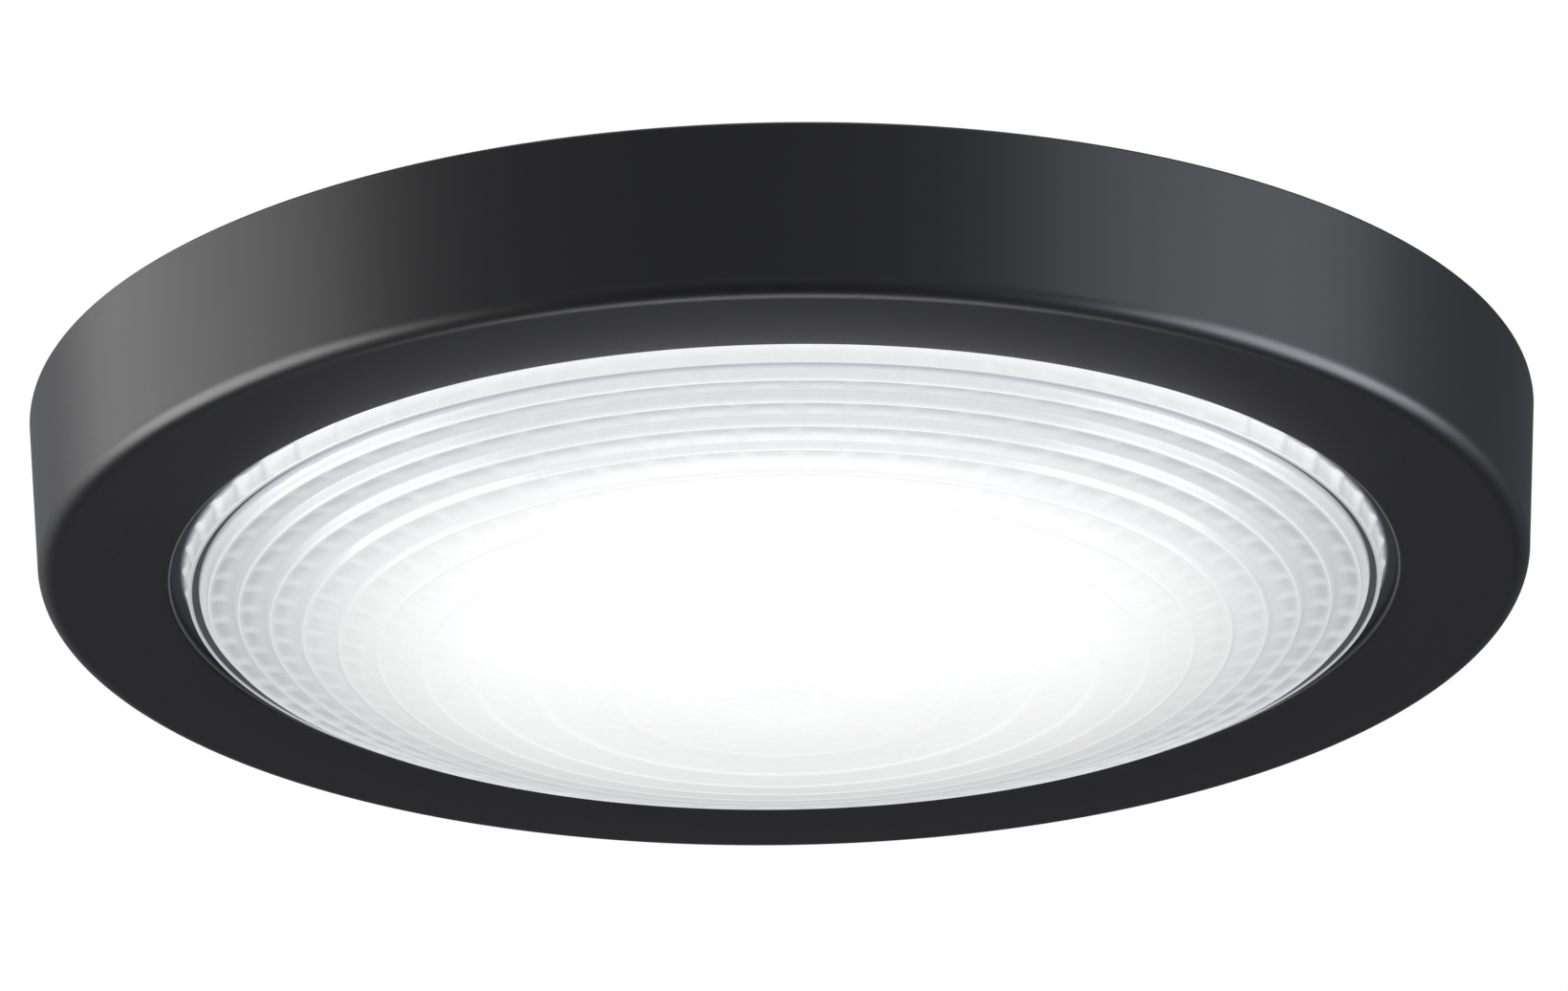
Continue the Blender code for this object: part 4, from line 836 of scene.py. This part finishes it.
@dataclass
class CrossScrew:
    """An M4 pan-head screw with a cross recess, its seat at the origin and its shank up +Z."""

    length: float
    radius: float = 2.0
    head_radius: float = 4.0
    head_height: float = 2.4
    head_brim: float = 0.35
    pitch: float = 0.7
    thread_start: float = 0.6
    thread_depth: float = 0.25
    point: float = 0.4
    segments: int = 32

    def mesh(self, name: str) -> Mesh:
        """Makes the screw.

        Args:
            name: the mesh's name.

        Returns:
            The mesh, with its seat at the origin.
        """
        outline = []
        for tilt in (0, 15, 30, 45, 60, 72, 82, 90):
            angle = radians(tilt)
            crown = self.head_brim + (1 - self.head_brim) * cos(angle)
            outline.append((self.head_radius * sin(angle), -self.head_height * crown))
        outline += [(self.head_radius, -0.15), (self.head_radius - 0.15, 0), (self.radius, 0)]
        for turn in range(int((self.length - self.pitch) / self.pitch)):
            low = self.pitch * (turn + self.thread_start)
            outline += [(self.radius, low), (self.radius - self.thread_depth, low + self.pitch * 0.5)]
        outline += [(self.radius - self.point, self.length), (0, self.length)]
        solid = turned(name, outline, self.segments)
        reach, half = self.head_radius * 0.55, self.head_radius * 0.12
        deep, wide = -self.head_height * 0.4, -self.head_height - 1.0
        return shaped(name, solid, cut=[
            block("recess_bar", (-reach, -half, wide), (reach, half, deep)),
            block("recess_bar", (-half, -reach, wide), (half, reach, deep)),
        ])


@dataclass
class LensClips:
    """The three swivel clips on the lens flange, with their screws."""

    seat: float = -29.9
    arm: float = 13.43
    width: float = 9.0
    sheet: float = 1.0
    bend: float = 5.2
    thumb: float = 4.0
    bore: float = 2.3
    head_seat: float = -28.6
    screw_length: float = 5.0

    def clip(self) -> Mesh:
        """Makes a clip with a round tip, a bent-up thumb tab and its pivot at the origin."""
        half = self.width / 2
        side = [
            (-self.arm, 0.0), (self.bend - 0.4, 0.0), *arc((self.bend, 1.0), 1.0, -90, 0, 5),
            (self.bend + self.sheet, self.thumb), (self.bend, self.thumb), (self.bend, self.sheet + 0.2),
            (self.bend - 0.2, self.sheet), (-self.arm, self.sheet),
        ]
        bent = prism("bent_clip", side, -half, half)
        bent.transform(Matrix.Rotation(radians(90), 4, "X"))
        tip = prism("clip_tip", [
            *arc((half - self.arm, 0), half, 90, 270, 16), (self.bend + 3.0, -half), (self.bend + 3.0, half),
        ], -1.0, self.thumb + 1.0)
        hole = rod("clip_hole", self.bore, -1.0, self.sheet + 1.0)
        return shaped("lens_clip_plate", bent, within=[tip], cut=[hole])

    def build(self) -> None:
        """Makes the clips and their screws and stands them in for their nodes."""
        clip = self.clip()
        screw = CrossScrew(self.screw_length).mesh("clip_screw_steel")
        flip = Matrix.Rotation(pi, 4, "X")
        seats, heads = turns(3, 90, CLIP_CIRCLE, self.seat), turns(3, 90, CLIP_CIRCLE, self.head_seat)
        bodies = (Body.CLIP_1, Body.CLIP_2, Body.CLIP_3)
        for number, (body, seat, head) in enumerate(zip(bodies, seats, heads), 1):
            name, nodes = f"swivel_clip_{number}", [f"lens_clip_{number}"]
            place_piece(name, clip, ZINC, body, nodes, seat)
            name, nodes = f"swivel_clip_screw_{number}", [f"clip_screw_{number}"]
            place_piece(name, screw, ZINC, Body.TRIM, nodes, head @ flip)


@dataclass
class LensGasket:
    """The gasket between the ring and the lens flange."""

    inner: float = 126.3
    outer: float = 131.4
    low: float = -34.5
    high: float = -33.5
    edge_round: float = 0.5

    def build(self) -> None:
        """Makes the gasket and stands it in for its node."""
        bulge, middle = self.edge_round / 2, (self.low + self.high) / 2
        outline = [
            (self.inner + bulge, self.high), (self.outer - bulge, self.high),
            *arc((self.outer - self.edge_round, middle), self.edge_round, 60, -60, 6),
            (self.outer - bulge, self.low), (self.inner + bulge, self.low),
            *arc((self.inner + self.edge_round, middle), self.edge_round, 240, 120, 6),
        ]
        mesh = turned("flange_gasket", outline, 192)
        place_piece("flange_gasket", mesh, SILICONE, Body.TRIM, ["lens_gasket"])


# Pan

# Where the pan holds its parts: azimuths and radii, and the (x, y) places of the driver's screws
STANDOFF_AZIMUTH, STANDOFF_CIRCLE = 30.0, 102.0
EARTH_AZIMUTH, EARTH_CIRCLE = 210.0, 75.0
DRIVER_SCREWS = ((-54.0, 72.035), (54.0, 72.035))


@dataclass
class FitterPan:
    """The pressed pan with its hub face, beads, stops, holes and notches."""

    level: float = -4.0
    sheet: float = 1.2
    skirt: float = -12.0
    radius: float = 149.137
    rim_round: float = 1.2
    hub: float = 56.0
    well: float = 24.0
    slope: float = 4.0
    bend: float = 1.0
    wire_hole: float = 14.0
    twist: float = 15.0
    notch_gap: float = 2.0
    stop_width: float = 3.0
    stop_height: float = 1.6
    stop_gap: float = 0.3
    stop_margin: float = 1.0
    root: float = 0.4
    keyhole_head: float = 4.5
    keyhole_slot: float = 2.4
    hub_circle: float = 43.0
    slide: float = 9.0
    bead_circle: float = 81.0
    bead_length: float = 30.0
    bead_radius: float = 3.0
    vents: int = 18
    vent_length: float = 14.0
    vent_radius: float = 1.5
    spigot_hole: float = 3.0
    screw_hole: float = 2.3
    reach: float = 2.0
    segments: int = 192

    def plate(self) -> Mesh:
        """Turns the plate, with rounded bends where the press drew it."""
        under = self.level - self.sheet
        rim = (self.radius - self.rim_round, self.level - self.rim_round)
        # Down the pressed slope: how far past the flat's edge, and the height
        flank = [
            (-1.4, 0.0), (-0.7, 0.0), (0.0, -0.12), (0.4, -0.45), (self.slope, self.level + 0.3),
            (self.slope + self.bend, self.level), (self.slope + self.bend + 0.8, self.level),
        ]
        outline = [
            (self.wire_hole, self.level),
            *((self.well - over, height) for over, height in reversed(flank)),
            *((self.hub + over, height) for over, height in flank),
            (rim[0] - 0.8, self.level), *arc(rim, self.rim_round, 90, 0, 6),
            (self.radius, self.skirt), (self.radius - self.sheet, self.skirt),
            (self.radius - self.sheet, under), (self.hub + self.slope, under),
            (self.hub, -self.sheet), (self.well, -self.sheet),
            (self.well - self.slope, under), (self.wire_hole, under),
        ]
        return turned("pan_plate", outline, self.segments)

    def bead(self) -> Mesh:
        """Makes a stiffening bead with a crowned top, along X."""
        layers = []
        for share, height in ((1.0, -self.root), (1.0, 0.15), (0.82, 0.7), (0.5, 1.08), (0.18, 1.2)):
            length = self.bead_length - 2 * self.bead_radius * (1 - share)
            layers.append((slot_outline(length, self.bead_radius * share, 8), self.level + height))
        return stacked("pan_bead", layers)

    def stop(self) -> Mesh:
        """Makes a lanced stop, along X."""
        half, outer = self.stop_width / 2, self.radius - self.rim_round - self.root
        low = (TAB_INNER, -half, self.level - self.root)
        return block("pan_stop", low, (outer, half, self.level + self.stop_height))

    def keyhole(self) -> Mesh:
        """Makes a keyhole cutter with its head at the origin and its slot along +Y."""
        side = degrees(asin(self.keyhole_slot / self.keyhole_head))
        outline = [
            *arc((0, 0), self.keyhole_head, 90 + side, 450 - side, 32),
            *arc((0, self.slide), self.keyhole_slot, 0, 180, 12),
        ]
        return prism("keyhole", outline, self.skirt - self.reach, self.reach)

    def build(self) -> None:
        """Makes the pan and stands it in for its node."""
        low, high = self.skirt - self.reach, self.reach
        half = TAB_WIDTH / 2 + self.notch_gap
        aside = (TAB_WIDTH + self.stop_width) / 2 + self.stop_gap
        beyond = half + self.stop_width / 2 + self.stop_margin
        lock = TAB_AZIMUTH + degrees(asin(aside / TAB_INNER))
        free = TAB_AZIMUTH - self.twist - degrees(asin(beyond / TAB_INNER))
        inner, outer = TAB_INNER - self.notch_gap, self.radius + self.reach
        notch = block("notch", (inner, -half, low), (outer, half, high))
        vent = prism("vent", slot_outline(self.vent_length, self.vent_radius, 8), low, high)
        vent_circle = (STANDOFF_CIRCLE + self.radius) / 2
        head_circle = sqrt(self.hub_circle ** 2 - self.slide ** 2)
        screw_places = [Matrix.Translation((x * MM, y * MM, 0)) for x, y in DRIVER_SCREWS]
        screw_places += turns(1, EARTH_AZIMUTH, EARTH_CIRCLE)
        spigot_hole = rod("spigot_hole", self.spigot_hole, low, high)
        solid = shaped("pan_skin", self.plate(), add=[
            gathered_meshes("beads", [(self.bead(), turns(6, 0, self.bead_circle))]),
            gathered_meshes("stops", [(self.stop(), turns(3, lock) + turns(3, free))]),
        ], cut=[gathered_meshes("pan_cuts", [
            (notch, turns(3, TAB_AZIMUTH - self.twist)),
            (self.keyhole(), turns(3, 90, head_circle)),
            (vent, turns(self.vents, 0, vent_circle)),
            (spigot_hole, turns(3, STANDOFF_AZIMUTH, STANDOFF_CIRCLE)),
            (rod("screw_hole", self.screw_hole, low, high), screw_places),
        ])])
        place_piece("pan_skin", solid, MATT_BLACK, Body.PAN, ["fitter_pan"])


@dataclass
class PanHardware:
    """What sits in the pan: the grommet, the earth terminal, the standoffs and the driver's screws."""

    pan_top: float = -4.0
    pan_under: float = -5.5
    earth_seat: float = -6.6
    earth_length: float = 3.6
    driver_seat: float = -9.1
    driver_length: float = 6.1

    def grommet(self) -> Mesh:
        """Turns the grommet with rounded lips."""
        upper, lower, groove, bore, curl = self.pan_top + 0.3, self.pan_under, 13.7, 9.0, 0.6
        flange, lip = 17.0, 1.5
        mouth, centre = bore + curl, flange - lip / 2
        outline = [
            *arc((mouth, upper + lip - curl), curl, 180, 90, 5),
            *arc((centre, upper + lip / 2), lip / 2, 90, -90, 10),
            (groove, upper), (groove, lower),
            *arc((centre, lower - lip / 2), lip / 2, 90, -90, 10),
            *arc((mouth, lower - lip + curl), curl, 270, 180, 5),
        ]
        return turned("supply_grommet", outline, 96)

    def standoff(self) -> Mesh:
        """Turns a standoff: spigot, shoulder, chamfered barrel and its screw hole."""
        high, top, foot, chamfer = self.pan_top, self.pan_under, -23.7, 0.3
        spigot, barrel, hole, depth = 2.7, 5.0, 2.05, 7.3
        outline = [
            (0, high), (spigot - chamfer, high), (spigot, high - chamfer), (spigot, top),
            (barrel - chamfer, top), (barrel, top - chamfer), (barrel, foot + chamfer),
            (barrel - chamfer, foot), (hole, foot), (hole, foot + depth), (0, foot + depth),
        ]
        return turned("standoff_barrel", outline, 48)

    def washer(self) -> Mesh:
        """Turns the earth washer with eased edges."""
        top, foot, inner, outer = self.pan_under, -6.3, 2.3, 5.0
        return turned("earth_washer_ring", [
            (inner, top), (outer - 0.2, top), (outer, top - 0.1),
            (outer, foot + 0.1), (outer - 0.2, foot), (inner, foot),
        ], 48)

    def build(self) -> None:
        """Makes the hardware and stands it in for its nodes."""
        body = Body.PAN
        place_piece("supply_grommet", self.grommet(), RUBBER, body, ["wire_grommet"])
        earth = turns(1, EARTH_AZIMUTH, EARTH_CIRCLE)[0]
        place_piece("earth_washer_ring", self.washer(), ZINC, body, ["earth_washer"], earth)
        screw = CrossScrew(self.earth_length).mesh("earth_screw_steel")
        place = earth @ Matrix.Translation((0, 0, self.earth_seat * MM))
        place_piece("earth_terminal_screw", screw, GREEN_STEEL, body, ["earth_screw"], place)
        standoff = self.standoff()
        for number, place in enumerate(turns(3, STANDOFF_AZIMUTH, STANDOFF_CIRCLE), 1):
            name, nodes = f"plate_standoff_{number}", [f"standoff_{number}"]
            place_piece(name, standoff, ALUMINIUM, body, nodes, place)
        screw = CrossScrew(self.driver_length).mesh("driver_screw_steel")
        for number, (x, y) in enumerate(DRIVER_SCREWS, 1):
            name, nodes = f"driver_ear_screw_{number}", [f"driver_screw_{number}"]
            place = Matrix.Translation((x * MM, y * MM, self.driver_seat * MM))
            place_piece(name, screw, ZINC, body, nodes, place)


# Stage

def seen_white(tree: NodeTree, shader: NodeSocket, white_kind: str) -> NodeSocket:
    """Gives a shader that is plain white to the camera's eye only."""
    white = add_node(tree, white_kind, inputs={"Color": WHITE, "Strength": 1.0})
    eye = add_node(tree, "LightPath").outputs["Is Camera Ray"]
    mixed = add_node(tree, "MixShader", inputs={0: eye, 1: shader, 2: white.outputs[0]})
    return mixed.outputs["Shader"]


@dataclass(frozen=True)
class Softbox:
    """A softbox that faces the light kit: angles in degrees, lengths in millimetres, power in watts.

    Its azimuth runs from the camera's side towards +X.
    """

    name: str
    azimuth: float
    elevation: float
    distance: float
    size: Point
    power: float
    colour: str = "ffffff"

    def hang(self) -> None:
        """Hangs the softbox in the scene."""
        data = bpy.data.lights.new(self.name, "AREA")
        data.shape = "RECTANGLE"
        data.size, data.size_y = self.size[0] * MM, self.size[1] * MM
        data.energy = self.power
        data.color = linear(self.colour)[:3]
        lamp = shown(self.name, data)
        around, above = radians(self.azimuth), radians(self.elevation)
        flat = cos(above)
        way = Vector((sin(around) * flat, -cos(around) * flat, sin(above)))
        lamp.location = way * self.distance * MM
        lamp.rotation_euler = way.to_track_quat("Z", "Y").to_euler()


SOFTBOXES = (
    Softbox("left_softbox", -95, 16, 1800, (2000, 1500), 20.0),
    Softbox("right_softbox", 67, 16, 1800, (1800, 1500), 17.0, "f1f4ff"),
    Softbox("low_softbox", 180, -66, 1400, (600, 500), 5.0),
    Softbox("left_low_softbox", -90, -24, 1500, (1300, 900), 30.0),
    Softbox("right_low_softbox", 84, -24, 1500, (1200, 900), 33.0, "f1f4ff"),
    Softbox("front_fill", 0, -20, 1500, (2000, 1000), 1.8),
    Softbox("top_softbox", 0, 78, 1800, (1400, 1400), 14.0),
)


@dataclass
class Studio:
    """The floor, the lamps, the world and the camera."""

    camera_place: tuple[float, float, float] = (0.0, -2728.61, -1136.28)
    camera_turn: tuple[float, float, float] = (112.3124, 0.8438, 0.3419)
    lens: float = 335.484
    floor_level: float = -7500.0
    floor_half: float = 30000.0

    def camera(self) -> None:
        """Stands the camera below and in front, a long way off with a long lens."""
        data = bpy.data.cameras.new("camera")
        data.lens = self.lens
        data.sensor_width = 36.0
        data.clip_end = 60.0
        camera = shown("camera", data)
        camera.location = Vector(self.camera_place) * MM
        camera.rotation_euler = Euler([radians(a) for a in self.camera_turn], "XYZ")
        bpy.context.scene.camera = camera

    def floor(self) -> None:
        """Lays a pale floor far under the light, white to the camera's eye."""
        build = bmesh.new()
        half = self.floor_half
        corners = ((-half, -half), (half, -half), (half, half), (-half, half))
        build.faces.new([build.verts.new((x, y, self.floor_level)) for x, y in corners])
        mesh = finished("studio_floor", build)
        floor = shown("studio_floor", mesh)
        material = bpy.data.materials.new("painted_studio_floor")
        material.use_nodes = True
        tree = material.node_tree
        shader = tree.nodes["Principled BSDF"]
        fill(tree, shader, {"Base Color": linear("6a6a6a"), "Roughness": 0.9})
        mixed = seen_white(tree, shader.outputs["BSDF"], "Emission")
        tree.links.new(mixed, tree.nodes["Material Output"].inputs["Surface"])
        mesh.materials.append(material)

    def world(self) -> None:
        """Makes the world a dim studio with one darker corner, white to the camera's eye."""
        world = bpy.data.worlds.new("studio")
        bpy.context.scene.world = world
        world.use_nodes = True
        tree = world.node_tree
        tree.nodes.clear()
        way = add_node(tree, "TexCoord").outputs["Generated"]
        toward = add_node(tree, "VectorMath", {"operation": "DOT_PRODUCT"}, {
            0: way, 1: (0.68, 0.73, 0.0),
        })
        level = ranged(tree, toward.outputs["Value"], (0.35, 0.95), (0.35, 0.1))
        dim = add_node(tree, "Background", inputs={
            "Color": linear("f4f6fa"), "Strength": level,
        })
        mixed = seen_white(tree, dim.outputs["Background"], "Background")
        add_node(tree, "OutputWorld", inputs={"Surface": mixed})

    def build(self) -> None:
        """Sets up the studio."""
        self.camera()
        self.floor()
        self.world()
        for softbox in SOFTBOXES:
            softbox.hang()
        bpy.context.scene.view_settings.view_transform = "Standard"


def main() -> None:
    logging.basicConfig(level=logging.INFO, format="%(name)s %(message)s")
    for group in (Studio, TrimHousing, RibbedLens, LensGasket, LensClips, FitterPan, PanHardware):
        group().build()
    dress(ZINC, "driver_lid", "board_screw_1", "board_screw_2", "board_screw_3", "board_screw_4",
          "plate_screw_1", "plate_screw_2", "plate_screw_3")
    dress(NYLON, "driver_case", "input_terminal", "output_terminal", "board_connector")
    dress(LAMINATE, "driver_board")
    dress(FERRITE, "transformer", "choke")
    dress(SLEEVE, "bulk_capacitor", "output_capacitor")
    dress(ALUMINIUM, "heat_plate")
    dress(PAD, "thermal_pad")
    dress(BOARD, "led_board")
    dress(ENAMEL, "reflector")
    dress(OPAL, "diffuser")
    dress(RED_WIRE, "red_lead")
    dress(BLACK_WIRE, "black_lead")


if __name__ == "__main__":
    main()
